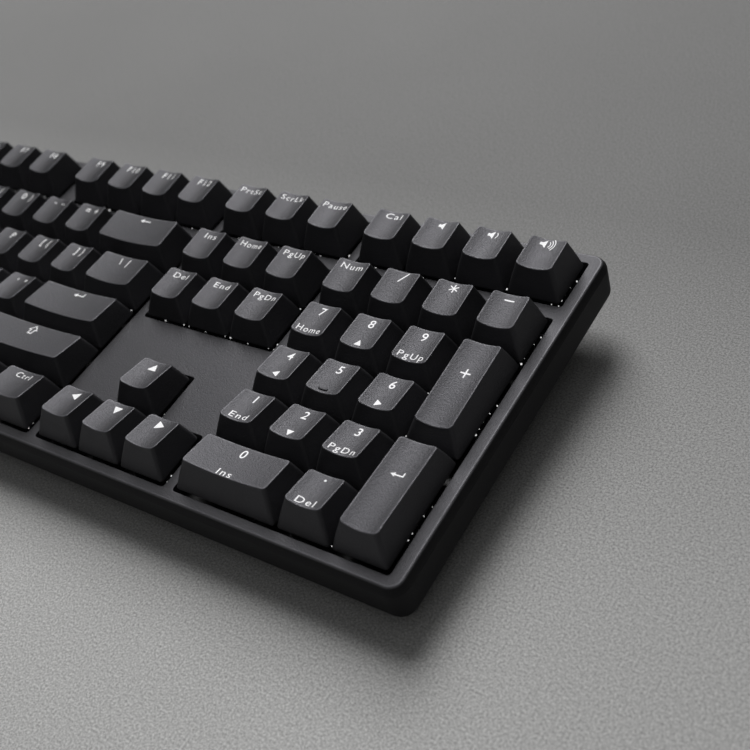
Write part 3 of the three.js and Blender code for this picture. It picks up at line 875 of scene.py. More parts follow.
add_keys(GRID_X + 3.75 * UNIT, 5, [("space", 6.25)], "space_bar", convex=True)
add_keys(GRID_X + 10 * UNIT, 5, [
    ("alt_right", 1.25, word("Alt")), ("system_right", 1.25, DIAMOND),
    ("fn", 1.25, icon("menu", 3.7, 3.0)), ("control_right", 1.25, word("Ctrl"))],
    "bottom_row_right_keys")

# navigation block, and the media keys behind the number pad
add_keys(NAV_X, 0, [("print_screen", 1, word("PrtSc")), ("scroll_lock", 1, word("ScrLk")),
                    ("pause", 1, word("Pause"))])
add_keys(PAD_X, 0, [
    ("calculator", 1, word("Cal", 4.0, right=0.4)), ("mute", 1, icon("speaker0", 3.9, 4.0)),
    ("volume_down", 1, icon("speaker1", 3.9, 4.0)), ("volume_up", 1, icon("speaker3", 4.1, 4.0))])
add_keys(NAV_X, 1, [("insert", 1, word("Ins")), ("home", 1, word("Home")),
                    ("page_up", 1, word("PgUp"))])
add_keys(NAV_X, 2, [("delete", 1, word("Del")), ("end", 1, word("End")),
                    ("page_down", 1, word("PgDn"))])
add_keys(NAV_X + UNIT, 4, [("arrow_up", 1, icon("tri_up", 3.4, 3.65))])
add_keys(NAV_X, 5, [(f"arrow_{way}", 1, icon(f"tri_{way}", 3.2, 3.65))
                    for way in ("left", "down", "right")])

# number pad
add_keys(PAD_X, 1, [
    ("num_lock", 1, word("Num")), ("pad_divide", 1, icon("slash", 4.0, 5.8, 0.5)),
    ("pad_multiply", 1, icon("star", 4.0, 3.3, -0.1)), ("pad_minus", 1, icon("minus", 3.9, 3.4))])
add_keys(PAD_X, 2, [digit("7", word("Home", PAD_FRONT)), digit("8", small_triangle("up")),
                    digit("9", word("PgUp", PAD_FRONT))])
add_keys(PAD_X, 3, [digit("4", small_triangle("left")), digit("5"),
                    digit("6", small_triangle("right"))])
add_keys(PAD_X, 4, [digit("1", word("End", PAD_FRONT)), digit("2", small_triangle("down")),
                    digit("3", word("PgDn", PAD_FRONT))])
add_keys(PAD_X, 5, [
    ("pad_0", 2, word("0", PAD_BACK, DIGIT_SIZE), word("Ins", PAD_FRONT - 0.4, right=-0.3)),
    ("pad_point", 1, word(".", 4.3, 6.0, 0.2), word("Del", PAD_FRONT))])
add_keys(PAD_X + 3 * UNIT, 2, [("pad_plus", 1, icon("plus", 3.9, 3.9))],
         rows=2, profile=TALL_PLUS)
add_keys(PAD_X + 3 * UNIT, 4, [("pad_enter", 1, icon("return", 3.6, 4.2))],
         rows=2, profile=TALL_ENTER)


# ---------------------------------------------------- keycaps and legends
INK_PROUD, INK_SUNK, INK_STRIP = 0.02, 0.12, 0.6


def legend_object(key):
    """closed ink solids that stand just proud of the cap's top"""
    parts = []
    for outline, what, right, back, size in key.legends:
        points, faces = outline(what, size)
        parts.append((points + np.array([right, back]), faces))
    points, faces = merge(parts)
    bm = bmesh.new()
    verts = [bm.verts.new((x, y, 0)) for x, y in points]
    for face in faces:
        # guards against a face that the text mesh gives twice
        try:
            bm.faces.new([verts[i] for i in face])
        except ValueError:
            pass
    bmesh.ops.remove_doubles(bm, verts=bm.verts, dist=1e-4)

    # cut into strips so that the ink follows the hollow
    low, high = points[:, 0].min(), points[:, 0].max()
    x = math.floor(low / INK_STRIP) * INK_STRIP
    while x < high:
        bmesh.ops.bisect_plane(bm, geom=bm.verts[:] + bm.edges[:] + bm.faces[:], dist=1e-5,
                               plane_co=(x, 0, 0), plane_no=(1, 0, 0))
        x += INK_STRIP
    bmesh.ops.triangulate(bm, faces=bm.faces[:])
    bmesh.ops.recalc_face_normals(bm, faces=bm.faces[:])
    if sum(face.normal.z for face in bm.faces) < 0:
        bmesh.ops.reverse_faces(bm, faces=bm.faces[:])
    flat_faces = list(bm.faces)
    extruded = bmesh.ops.extrude_face_region(bm, geom=flat_faces)
    raised = {item for item in extruded["geom"] if isinstance(item, bmesh.types.BMVert)}
    bmesh.ops.reverse_faces(bm, faces=[face for face in flat_faces if face.is_valid])

    normal_y, normal_z = -math.sin(key.tilt), math.cos(key.tilt)
    for vert in bm.verts:
        x = key.x + vert.co.x
        y = key.top_y + vert.co.y * math.cos(key.tilt)
        z = float(key.surface(x, y))
        offset = INK_PROUD if vert in raised else -INK_SUNK
        point = Vector((x, y + normal_y * offset, z + normal_z * offset))
        vert.co = Vector(deck_to_world([point])[0]) * MM
    bmesh.ops.recalc_face_normals(bm, faces=bm.faces[:])
    mesh = bpy.data.meshes.new("legend_" + key.name)
    bm.to_mesh(mesh)
    bm.free()
    mesh.materials.append(LEGEND_MAT)
    ob = bpy.data.objects.new("legend_" + key.name, mesh)
    bpy.context.scene.collection.objects.link(ob)
    return ob


def homing_bar(key):
    """low rounded bar near the front edge of the cap's top"""
    width, depth = 3.4, 0.95
    y = key.top_y - key.depth / 2 + 1.35
    surface = float(key.surface(key.x, y))
    bottom, top = surface - 0.3, surface + 0.42
    solid = level_solid(key.x - 0.3, y, [
        (width, depth, depth / 2 - 0.01, bottom), (width, depth, depth / 2 - 0.01, top - 0.18),
        (width - 0.12, depth - 0.12, depth / 2 - 0.08, top - 0.05),
        (width - 0.3, depth - 0.3, depth / 2 - 0.17, top)], steps=4)
    return make_object("homing_bar_" + key.name, solid.verts, solid.faces, CAP_MAT, sharp=50)


first_caps = {}
for key in keys:
    solid = cap_solid(key)
    cap = make_object("keycap_" + key.name, solid.verts, solid.faces, CAP_MAT,
                      sharp=52, rim=solid.rims())
    register(cap, key.body)
    first_caps.setdefault(key.body, cap)
    if key.legends:
        register(legend_object(key), key.body)
    if key.bar:
        register(homing_bar(key), key.body)
for body, cap in first_caps.items():
    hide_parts(body)


# --------------------------------------------------------------- switches
# Levels are (width, depth, corner radius, z over the deck).
# lower housing: a cup whose flange rests on the plate; up the outside, then down the inside
HOUSING_LEVELS = [
    (12.6, 12.6, 0.6, -4.7), (13.3, 13.3, 0.6, -4.2), (13.5, 13.5, 0.5, -0.15),
    (13.5, 13.5, 0.5, 0.05), (15.4, 15.4, 0.8, 0.05), (15.6, 15.6, 0.8, 0.25),
    (15.6, 15.6, 0.8, 0.8), (15.4, 15.4, 0.8, 1.0),
    (12.2, 12.2, 0.4, 1.0), (11.6, 11.6, 0.4, -0.2), (11.4, 11.4, 0.4, -4.1)]
# upper cover: a frame with an opening for the stem; outside, then inside
COVER_LEVELS = [
    (12.0, 12.0, 0.4, 1.06), (14.9, 14.6, 0.9, 1.06), (15.0, 14.8, 0.9, 1.3),
    (14.6, 14.2, 1.0, 1.9), (13.4, 12.6, 1.1, 3.0), (11.4, 9.3, 1.1, 5.9),
    (11.1, 9.0, 1.0, 6.35), (10.6, 8.6, 0.9, 6.6),
    (7.9, 7.1, 0.4, 6.6), (7.6, 6.8, 0.4, 6.3), (7.6, 6.8, 0.4, 5.6),
    (9.4, 8.0, 0.4, 5.2), (11.6, 11.0, 0.4, 2.4)]
LUG_X = 6.95
LUG_LEVELS = [(0.9, 3.6, 0.3, 1.2), (0.9, 3.6, 0.3, 2.5), (0.6, 3.2, 0.25, 2.9)]
STEM_OUTER = [(6.9, 6.1, 0.5, 0.15), (7.0, 6.2, 0.5, 0.4), (7.0, 6.2, 0.5, 6.0),
              (6.7, 5.9, 0.5, 6.3)]
STEM_INNER = [(4.4, 4.4, 2.0, 0.15), (4.4, 4.4, 2.0, 5.4)]
STEM_CROSS_BOTTOM, STEM_CROSS_TOP = 6.2, 10.4
STEM_CROSS_REACH, STEM_CROSS_HALF_WIDTH = 2.0, 0.55
# glowing beads on the cover's flanks, painted glints: x, y, z, half width, half depth; each has a
# twin opposite
BEADS = [(7.25, 5.7, 1.85, 0.26, 0.34), (7.0, 1.8, 2.5, 0.24, 0.32), (6.95, -0.9, 2.7, 0.18, 1.1),
         (6.9, -4.3, 2.85, 0.3, 0.36), (6.95, -6.5, 2.6, 0.36, 0.34),
         (-4.3, -6.75, 2.35, 0.42, 0.24), (4.6, -6.6, 2.7, 0.2, 0.16)]
BEAD_HEIGHT, BEAD_SINK = 0.3, 0.2


def bead_solid(x, y, z, half_width, half_depth, height):
    """small bead, flat underneath, that carries a painted glint"""
    def ring(share, z):
        return lift(ellipse(x, y, full_turn(8), share * half_width, share * half_depth), z)
    slope = math.radians(45)
    rings = [ring(0.9, z - BEAD_SINK), ring(1.0, z),
             ring(math.cos(slope), z + height * math.sin(slope))]
    return capped(rings, (x, y, z - BEAD_SINK), (x, y, z + height))


def stem_solid(x, y):
    """hollow slider, with a cross on top"""
    stem = Solid()
    outer = [stem.ring(ring) for ring in level_rings(x, y, STEM_OUTER, 3)]
    stem.cap((x, y, STEM_OUTER[-1][3]))
    stem.last = outer[0]
    for ring in level_rings(x, y, STEM_INNER, 3):
        stem.ring(ring)
    stem.cap((x, y, STEM_INNER[-1][3]))
    far, near = STEM_CROSS_REACH, STEM_CROSS_HALF_WIDTH
    outline = np.array([
        (far, -near), (far, near), (near, near), (near, far), (-near, far), (-near, near),
        (-far, near), (-far, -near), (-near, -near), (-near, -far), (near, -far), (near, -near)])
    cross = Solid()
    cross.faces = [tuple(range(12))[::-1], tuple(range(12, 24))]
    for z in (STEM_CROSS_BOTTOM, STEM_CROSS_TOP):
        cross.ring(lift(outline + (x, y), z))
    stem.add(cross)
    return stem


housings, covers, beads, stems = Solid(), Solid(), Solid(), {}
bead_sizes = np.random.default_rng(11)
for key in keys:
    housings.add(level_solid(key.x, key.y, HOUSING_LEVELS, steps=2))
    covers.add(level_frame(key.x, key.y, COVER_LEVELS, steps=2))
    for side in (-1, 1):
        covers.add(level_solid(key.x + side * LUG_X, key.y, LUG_LEVELS, steps=2))
    for x, y, z, half_width, half_depth in BEADS:
        for side in (-1, 1):
            size = bead_sizes.uniform(0.42, 1.08)
            beads.add(bead_solid(key.x + side * x, key.y + side * y, z,
                                 half_width * size, half_depth * size, BEAD_HEIGHT * size))
    stems.setdefault(key.body, Solid()).add(stem_solid(key.x, key.y))

housing_ob = make_object("switch_bases", housings.verts, housings.faces, HOUSING_MAT, sharp=40)
cover_ob = make_object("switch_covers", covers.verts, covers.faces, COVER_MAT, sharp=30)
bead_ob = make_object("switch_painted_glints", beads.verts, beads.faces, GLINT_BEAD_MAT, sharp=60)
register(housing_ob, "chassis")
register(cover_ob, "chassis")
register(bead_ob, "chassis")
for body, stem in stems.items():
    ob = make_object("switch_stem_" + body, stem.verts, stem.faces, STEM_MAT, sharp=40)
    register(ob, body, "pad_5_switch_stem" if body == "pad_5_key" else None)


def coil_spring(x, y):
    radius, wire, bottom, top, turns = 1.75, 0.2, -3.6, 5.0, 7.5
    turn_steps, wire_steps = 22, 10
    steps = int(turns * turn_steps)
    centres, rings = [], []
    for i in range(steps + 1):
        angle = 2 * math.pi * i / turn_steps
        cosine, sine = math.cos(angle), math.sin(angle)
        centre = (x + radius * cosine, y + radius * sine, bottom + (top - bottom) * i / steps)
        ring = []
        for j in range(wire_steps):
            around = 2 * math.pi * j / wire_steps
            outwards = wire * math.cos(around)
            ring.append((centre[0] + outwards * cosine, centre[1] + outwards * sine,
                         centre[2] + wire * math.sin(around)))
        centres.append(centre)
        rings.append(ring)
    return capped(rings, centres[0], centres[-1])


# return spring under the middle key of the number pad
pad_5 = next(key for key in keys if key.name == "pad_5")
solid = coil_spring(pad_5.x, pad_5.y)
spring = make_object("pad_5_return_spring_coil", solid.verts, solid.faces, STEEL_MAT)
register(spring, "chassis", "pad_5_return_spring")
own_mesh(spring)

# circuit board
board_width, board_depth = CASE_WIDTH - 13.0, CASE_DEPTH - 12.8
solid = level_solid(0, 0, [(board_width, board_depth, 3, z) for z in (-6.6, -5.0)], steps=6)
board = make_object("circuit_board", solid.verts, solid.faces, BOARD_MAT, sharp=30)
register(board, "chassis", "circuit_board_with_switches")
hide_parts("pad_5_switch_base")
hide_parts("pad_5_switch_cover")


# --------------------------------------------------------------- top case
TOP_EDGE_RADIUS = 0.5
HOLE_EDGE_RADIUS, HOLE_CORNER_RADIUS = 0.25, 1.0
LOOP_STEPS = (10, 12, 6)            # of a corner, along x, along y
# rectangular openings: left, front, units wide, units deep
OPENINGS = [(GRID_X, GRID_Y, 15, 5), (GRID_X, FUNCTION_Y, 1, 1),
            (GRID_X + 2 * UNIT, FUNCTION_Y, 4, 1), (GRID_X + 6.5 * UNIT, FUNCTION_Y, 4, 1),
            (GRID_X + 11 * UNIT, FUNCTION_Y, 4, 1), (NAV_X, FUNCTION_Y, 3, 1),
            (PAD_X, FUNCTION_Y, 4, 1), (NAV_X, GRID_Y + 3 * UNIT, 3, 2), (PAD_X, GRID_Y, 4, 5)]


def case_ring(inset, z):
    """outline of the case in the deck frame, inset from its top edge"""
    return lift(rounded_rect(0, 0, CASE_WIDTH - 2 * inset, CASE_DEPTH - 2 * inset,
                             max(0.8, CASE_RADIUS - inset), *LOOP_STEPS), z)


def fill_between(verts, outer, holes, up):
    """triangles of a flat region with holes; outer and holes are index lists into verts"""
    ids = list(outer) + [i for hole in holes for i in hole]
    loops = [[Vector((verts[i][0], verts[i][1], 0)) for i in loop] for loop in [outer] + holes]
    triangles = []
    for corners in tessellate_polygon(loops):
        triangle = tuple(ids[i] for i in corners)
        first, second, third = (Vector(verts[i]) for i in triangle)
        facing = (second - first).cross(third - first).z
        if abs(facing) >= 1e-12:
            triangles.append(triangle if (facing > 0) == up else triangle[::-1])
    return triangles


def arrow_opening(offset):
    """outline round the arrow keys: a row of three with one key behind its middle"""
    grow = OPENING_CLEARANCE + offset
    left, right = NAV_X - grow, NAV_X + 3 * UNIT + grow
    middle_left, middle_right = NAV_X + UNIT - grow, NAV_X + 2 * UNIT + grow
    front, shoulder, back = (GRID_Y - grow, GRID_Y + UNIT + grow, GRID_Y + 2 * UNIT + grow)
    corners = np.array([
        (left, front), (right, front), (right, shoulder), (middle_right, shoulder),
        (middle_right, back), (middle_left, back), (middle_left, shoulder), (left, shoulder)])
    points = []
    for i, corner in enumerate(corners):
        before, after = corners[i - 1], corners[(i + 1) % len(corners)]
        to_before, to_after = unit(before - corner), unit(after - corner)
        arrive, leave = corner - before, after - corner
        convex = arrive[0] * leave[1] - arrive[1] * leave[0] > 0
        radius = HOLE_CORNER_RADIUS + offset if convex else max(0.25, HOLE_CORNER_RADIUS - offset)
        centre = corner + (to_before + to_after) * radius
        start_x, start_y = corner + to_before * radius - centre
        end_x, end_y = corner + to_after * radius - centre
        start = math.atan2(start_y, start_x)
        sweep = (math.atan2(end_y, end_x) - start + math.pi) % (2 * math.pi) - math.pi
        for k in range(6):
            angle = start + sweep * k / 5
            points.append(centre + radius * np.array([math.cos(angle), math.sin(angle)]))
    return np.array(points)


def top_case_solid():
    # lip inside the tray's rim, shoulder, sloped edge band, rounded top edge
    profile = [(1.7, LIP_BOTTOM), (1.5, LIP_BOTTOM + 0.2), (1.5, CASE_FOOT),
               (-FLARE + 0.08, CASE_FOOT), (-FLARE, CASE_FOOT + 0.08),
               (-FLARE + 0.13, CASE_FOOT + 0.75)]
    slope = unit(np.array([FLARE, -(RING_TOP - CASE_FOOT - 0.2)]))
    edge = np.array([0.0, RING_TOP])
    edge_start = edge + TOP_EDGE_RADIUS * np.array([-slope[0], slope[1]])
    edge_end = np.array([TOP_EDGE_RADIUS, RING_TOP])
    profile += [bezier(edge_start, edge, edge_end, t) for t in (0, 0.2, 0.4, 0.6, 0.8, 1.0)]
    shell = Solid()
    # rim marks the rounded top edge, where the case material paints a pale highlight
    outer = [shell.ring(case_ring(inset, z), rim=1.0 if z > RING_TOP - 0.22 else 0.0)
             for inset, z in profile]
    outer.append(shell.ring(case_ring(TOP_EDGE_RADIUS + 0.25, RING_TOP)))

    hole_profile = [(0.0, LIP_BOTTOM), (0.0, RING_TOP - HOLE_EDGE_RADIUS)]
    for degrees in (22, 45, 68, 90):
        angle = math.radians(degrees)
        hole_profile.append((HOLE_EDGE_RADIUS * (1 - math.cos(angle)),
                             RING_TOP - HOLE_EDGE_RADIUS * (1 - math.sin(angle))))
    holes_top, holes_bottom = [], []

    def add_hole(outline):
        """outline gives the loop of the opening at an outward offset"""
        shell.last = None
        first_face = len(shell.faces)
        rings = [shell.ring(lift(outline(offset), z)) for offset, z in hole_profile]
        # the walls of a hole face the other way
        shell.faces[first_face:] = [(b, a, d, c) for a, b, c, d in shell.faces[first_face:]]
        holes_bottom.append(rings[0])
        holes_top.append(rings[-1])

    for left, front, units_wide, units_deep in OPENINGS:
        width = units_wide * UNIT + 2 * OPENING_CLEARANCE
        depth = units_deep * UNIT + 2 * OPENING_CLEARANCE
        add_hole(lambda offset: rounded_rect(
            left + units_wide * UNIT / 2, front + units_deep * UNIT / 2,
            width + 2 * offset, depth + 2 * offset, HOLE_CORNER_RADIUS + offset,
            5, max(1, int(width / 25)), max(1, int(depth / 25))))
    add_hole(arrow_opening)
    shell.faces += fill_between(shell.verts, outer[-1], holes_top, up=True)
    shell.faces += fill_between(shell.verts, outer[0], holes_bottom, up=False)
    return shell


shell = top_case_solid()
top_case = make_object("top_case_shell", shell.verts, shell.faces, CASE_MAT,
                       sharp=35, rim=shell.rims())
add_weighted_normals(top_case).weight = 60
# painted shade: the outer sides of the same moulding take the tray's darker material, because they
# sit in shade
top_case.data.materials.append(TRAY_AND_SIDE_SHADE_MAT)
for face in top_case.data.polygons:
    corners = [shell.verts[i] for i in face.vertices]
    outwards = max(max(abs(x) - CASE_WIDTH / 2, abs(y) - CASE_DEPTH / 2) for x, y, z in corners)
    if max(z for x, y, z in corners) < RING_TOP - 0.3 and outwards > -0.05:
        face.material_index = 1
register(top_case, "chassis", "top_case")


# ------------------------------------------------------------ bottom tray
def tray_rings(inset, edge_z, bevel_z, base_z, rounded_rim):
    """world rings from the rim down the wall, round the bevel and in to the flat base

    edge_z and bevel_z are deck heights, base_z is a world height.
    """
    def wall_ring(wall_inset, z):
        return deck_to_world(case_ring(wall_inset, z))

    def base_ring(extra):
        return lift(rounded_rect(0, (BASE_FRONT + BASE_BACK) / 2,
                                 2 * (BASE_HALF_X - inset - extra),
                                 BASE_BACK - BASE_FRONT - 2 * (inset + extra),
                                 BASE_RADIUS - extra, *LOOP_STEPS), base_z)

    def toward(start, end, distance):
        length = np.maximum(np.linalg.norm(end - start, axis=1), 1e-6)
        return start + (end - start) * (distance / length)[:, None]

    wall = inset - FLARE
    if rounded_rim:
        rings = [wall_ring(wall + 0.08, TRAY_RIM), wall_ring(wall, TRAY_RIM - 0.08)]
    else:
        rings = [wall_ring(wall, TRAY_RIM)]
    upper, edge = wall_ring(wall, edge_z + 2.5), wall_ring(wall, edge_z)
    bevel = wall_ring(inset + WALL_TUCK, bevel_z)
    base, inner = base_ring(0.0), base_ring(1.5)
    rings += [wall_ring(wall, TRAY_RIM - 1.0), upper]
    # rounded turns: wall to bevel, bevel to slope, slope to base
    for before, turn, after, distance in ((upper, edge, bevel, 1.1), (edge, bevel, base, 1.1),
                                          (bevel, base, inner, 1.2)):
        start, end = toward(turn, before, distance), toward(turn, after, distance)
        rings += [bezier(start, turn, end, t) for t in (0.0, 0.25, 0.5, 0.75, 1.0)]
    return rings + [inner]


def tray_solid():
    centre_y = (BASE_FRONT + BASE_BACK) / 2
    solid = Solid()
    outside = tray_rings(0.0, WALL_EDGE, WALL_BOTTOM, DESK_FACE, rounded_rim=True)
    inside = tray_rings(SKIN, WALL_EDGE + 0.8, WALL_BOTTOM + 0.8, DESK_FACE + SKIN,
                        rounded_rim=False)
    ids = [solid.ring(ring) for ring in outside]
    solid.cap((0, centre_y, DESK_FACE))
    solid.last = ids[0]
    for ring in inside:
        solid.ring(ring)
    solid.cap((0, centre_y, DESK_FACE + SKIN))
    return solid


def block(x_span, y_span, z_span, edge, corner=None, deck=False, material=TRAY_AND_SIDE_SHADE_MAT, name="tool"):
    """block with rounded upper and lower edges (edge) and upright edges (corner)"""
    corner = corner if corner is not None else edge * 1.5
    (left, right), (front, back), (bottom, top) = x_span, y_span, z_span
    width, depth = right - left, back - front
    arcs = [(edge * (1 - math.cos(a)), edge * (1 - math.sin(a)))
            for a in map(math.radians, (0, 30, 60, 90))]
    profile = [(near, bottom + rise) for rise, near in arcs]
    profile += [(rise, top - near) for rise, near in arcs]
    levels = [(width - 2 * inset, depth - 2 * inset, max(0.05, corner - inset), z)
              for inset, z in profile]
    solid = level_solid((left + right) / 2, (front + back) / 2, levels, steps=5)
    return make_object(name, solid.verts, solid.faces, material, deck=deck, sharp=40)


def cross_rod(left, right, y, z, radius):
    """cylinder along x with small chamfers"""
    chamfer = 0.2
    rings = []
    for x, ring_radius in ((left, radius - chamfer), (left + chamfer, radius),
                           (right - chamfer, radius), (right, radius - chamfer)):
        loop = ellipse(y, z, full_turn(24), ring_radius)
        rings.append(np.column_stack([np.full(len(loop), x), loop]))
    solid = capped(rings, (left, y, z), (right, y, z))
    return make_object("tool", solid.verts, solid.faces, FOOT_MAT, deck=False, sharp=40)


def upright_rod(x, y, bottom, top, radius):
    loop = ellipse(x, y, full_turn(28), radius)
    solid = capped([lift(loop, bottom), lift(loop, top)], (x, y, bottom), (x, y, top))
    return make_object("tool", solid.verts, solid.faces, TRAY_AND_SIDE_SHADE_MAT, deck=False, sharp=40)


def boolean(target, tool, operation):
    """apply a boolean to the target and remove the tool"""
    modifier = target.modifiers.new("b", "BOOLEAN")
    modifier.operation, modifier.solver, modifier.object = operation, "EXACT", tool
    depsgraph = bpy.context.evaluated_depsgraph_get()
    depsgraph.update()
    mesh = bpy.data.meshes.new_from_object(target.evaluated_get(depsgraph))
    old = target.data
    target.modifiers.clear()
    target.data = mesh
    bpy.data.meshes.remove(old)
    bpy.data.objects.remove(tool)


def join(target, tool):
    boolean(target, tool, "UNION")


def cut(target, tool):
    boolean(target, tool, "DIFFERENCE")


# folding feet: hinged at the back, their tips to the front; world places
FOOT_X = centre_x("tilt_foot_right")
FOOT_HALF, FOOT_LENGTH = 26.0 / 2, 30.0
HINGE_Y, HINGE_Z, BARREL_RADIUS, PIN_RADIUS = 42.0, 5.0, 2.6, 1.3
FOOT_TIP = HINGE_Y - FOOT_LENGTH
SCREWS = [(-195, -30), (195, -30), (-70, -46), (70, -46), (-60, 40), (60, 40), (0, -2)]
SOCKET_X = centre_x("usb_socket")


def build_tray():
    solid = tray_solid()
    tray = make_object("bottom_case_tray", solid.verts, solid.faces, TRAY_AND_SIDE_SHADE_MAT, deck=False)
    for side in (-1, 1):
        x = side * FOOT_X
        # walls round the foot's pocket, the pocket, and a notch in front of the foot's tip
        join(tray, block((x - FOOT_HALF - 4.5, x + FOOT_HALF + 4.5),
                         (FOOT_TIP - 3.6, HINGE_Y + 6.2), (DESK_FACE + 0.4, 10), 0.5))
        cut(tray, block((x - FOOT_HALF - 0.5, x + FOOT_HALF + 0.5),
                        (FOOT_TIP - 1.2, HINGE_Y + 4.2), (DESK_FACE - 2, 8.4), 0.4, 1.0))
        cut(tray, block((x - 7, x + 7), (FOOT_TIP - 6.2, FOOT_TIP),
                        (DESK_FACE - 2, DESK_FACE + 1.4), 0.6, 3.0))
    for side in (-1, 1):
        x = side * FOOT_X
        cut(tray, cross_rod(x - FOOT_HALF - 2.9, x + FOOT_HALF + 2.9,
                            HINGE_Y, HINGE_Z, PIN_RADIUS + 0.4))
    for x, y in SCREWS:
        cut(tray, upright_rod(x, y, DESK_FACE - 1, DESK_FACE + 1.6, 3.4))
    # shallow blank panel, then the opening for the socket
    cut(tray, block((-32, 32), (-26, -6), (DESK_FACE - 1, DESK_FACE + 0.35), 0.2, 2.0))
    cut(tray, block((SOCKET_X - 5.0, SOCKET_X + 5.0), (CASE_DEPTH / 2 - 12, CASE_DEPTH / 2 + 3),
                    (-5.2, -1.6), 1.2, 1.2, deck=True))
    shade(tray.data, 35)
    add_weighted_normals(tray)
    register(tray, "chassis", "bottom_case")


def build_screw(name, x, y):
    """screw head in its well, with a cross recess that opens downwards"""
    angles = full_turn(30)
    top = DESK_FACE + 1.55
    rings = [lift(ellipse(x, y, angles, radius), z) for radius, z in (
        (2.75, top), (2.75, top - 0.5), (2.55, top - 0.85), (2.0, top - 1.15))]
    cross = cross_radius(angles, reach=1.5, half_width=0.32)
    rings.append(lift(ellipse(x, y, angles, cross), top - 1.2))
    rings.append(lift(ellipse(x, y, angles, cross * 0.8), top - 0.5))
    solid = capped(rings, (x, y, top), (x, y, top - 0.5))
    register(make_object(name, solid.verts, solid.faces, SCREW_MAT, deck=False, sharp=35),
             "chassis")


def build_foot(name, x):
    leg = block((x - FOOT_HALF, x + FOOT_HALF), (FOOT_TIP, HINGE_Y + 0.6),
                (DESK_FACE + 0.6, DESK_FACE + 5.0), 0.5, 1.2, material=FOOT_MAT,
                name=name + "_leg")
    # hinge barrel and pins, recess in the upper face, lug at the tip
    join(leg, cross_rod(x - FOOT_HALF, x + FOOT_HALF, HINGE_Y, HINGE_Z, BARREL_RADIUS))
    join(leg, cross_rod(x - FOOT_HALF - 2.5, x + FOOT_HALF + 2.5, HINGE_Y, HINGE_Z, PIN_RADIUS))
    cut(leg, block((x - FOOT_HALF + 3, x + FOOT_HALF - 3), (FOOT_TIP + 4, HINGE_Y - 5),
                   (DESK_FACE + 2.6, DESK_FACE + 8), 0.4, 1.0))
    join(leg, block((x - 6, x + 6), (FOOT_TIP - 0.6, FOOT_TIP + 3),
                    (DESK_FACE - 0.3, DESK_FACE + 1.6), 0.45, 0.9))
    # five grooves across the lower face
    for i in range(5):
        y = FOOT_TIP + 6 + i * 2.2
        cut(leg, block((x - 8, x + 8), (y, y + 0.8), (DESK_FACE - 0.2, DESK_FACE + 0.95),
                       0.2, 0.35))
    shade(leg.data, 40)
    register(leg, name, name)


def build_rubber_pad(name):
    low, high = box_mm(name)
    width, depth, radius = 36, 9, 4.45
    profile = ((0.0, high.z), (0.0, 0.5), (0.1, 0.25), (0.3, 0.07), (0.6, 0.0))
    levels = [(width - 2 * inset, depth - 2 * inset, radius - inset, z) for inset, z in profile]
    solid = level_solid((low.x + high.x) / 2, (low.y + high.y) / 2, levels, steps=10)
    pad = make_object(name + "_moulded", solid.verts, solid.faces, RUBBER_MAT,
                      deck=False, sharp=50)
    register(pad, "chassis", name)


def build_socket():
    """rounded shell with a tongue, open to the back"""
    x, back, bottom, top = SOCKET_X, CASE_DEPTH / 2 + 0.3, -4.7, -2.0
    middle = (bottom + top) / 2
    socket = block((x - 4.5, x + 4.5), (back - 9.2, back), (bottom, top), 0.9, 0.05,
                   deck=True, material=STEEL_MAT, name="usb_socket_shell")
    cut(socket, block((x - 4.1, x + 4.1), (back - 8.2, back + 1), (bottom + 0.35, top - 0.35),
                      0.7, 0.05, deck=True))
    join(socket, block((x - 3.2, x + 3.2), (back - 8.7, back - 0.8),
                       (middle - 0.3, middle + 0.3), 0.1, 0.1, deck=True))
    shade(socket.data, 35)
    register(socket, "chassis", "usb_socket")


def close_slits(mesh):
    """weld and fill the slits that cuts leave along shared edges, so the shell is watertight"""
    bm = bmesh.new()
    bm.from_mesh(mesh)
    bmesh.ops.remove_doubles(bm, verts=bm.verts, dist=0.005 * MM)
    bmesh.ops.holes_fill(bm, edges=[edge for edge in bm.edges if edge.is_boundary], sides=0)
    bmesh.ops.delete(bm, geom=[edge for edge in bm.edges if edge.is_wire], context="EDGES")
    bmesh.ops.recalc_face_normals(bm, faces=bm.faces)
    bm.to_mesh(mesh)
    bm.free()


build_tray()
for i, (x, y) in enumerate(SCREWS):
    build_screw(f"case_screw_{i + 1}", x, y)
build_foot("tilt_foot_left", -FOOT_X)
build_foot("tilt_foot_right", FOOT_X)
for place in ("front_left", "front_right", "rear_left", "rear_right"):
    build_rubber_pad("rubber_pad_" + place)
build_socket()

# the switch plate keeps its CAD shape
plate_materials = frame["nodes"]["switch_plate"].data.materials
plate_materials.clear()
plate_materials.append(PLATE_MAT)

for name in ("top_case_shell", "tilt_foot_left_leg", "tilt_foot_right_leg"):
    close_slits(bpy.data.objects[name].data)


# ------------------------------------------------------------------ stage
def desk_mat():
    material, tree, bsdf, vector = new_material("desk_mat")
    fine = noise(tree, vector, scale=1500.0, detail=4.0, rough=0.8)
    soft = noise(tree, vector, scale=6.0)
    colour = ramp(tree, soft, (0.3, (0.57, 0.57, 0.56)), (0.7, (0.62, 0.62, 0.61)))
    speck = ramp(tree, fine, (0.36, 0.52), (0.64, 1.36))
    colour = mix_colour(tree, colour, speck, 1.0, "MULTIPLY")
    # painted light falloff: paler towards the front, darker towards the back; source is y in
    # metres
    split = add_node(tree, "SeparateXYZ", {0: vector})
    painted_falloff = map_range(tree, split.outputs["Y"], source=(-0.12, 0.12), target=(0.95, 0.40))
    colour = mix_colour(tree, colour, painted_falloff, 1.0, "MULTIPLY")
    set_inputs(tree, bsdf, {"Base Color": colour, "Roughness": 0.85})
    bump(tree, bsdf, (fine, 0.10, 0.6))
    return material


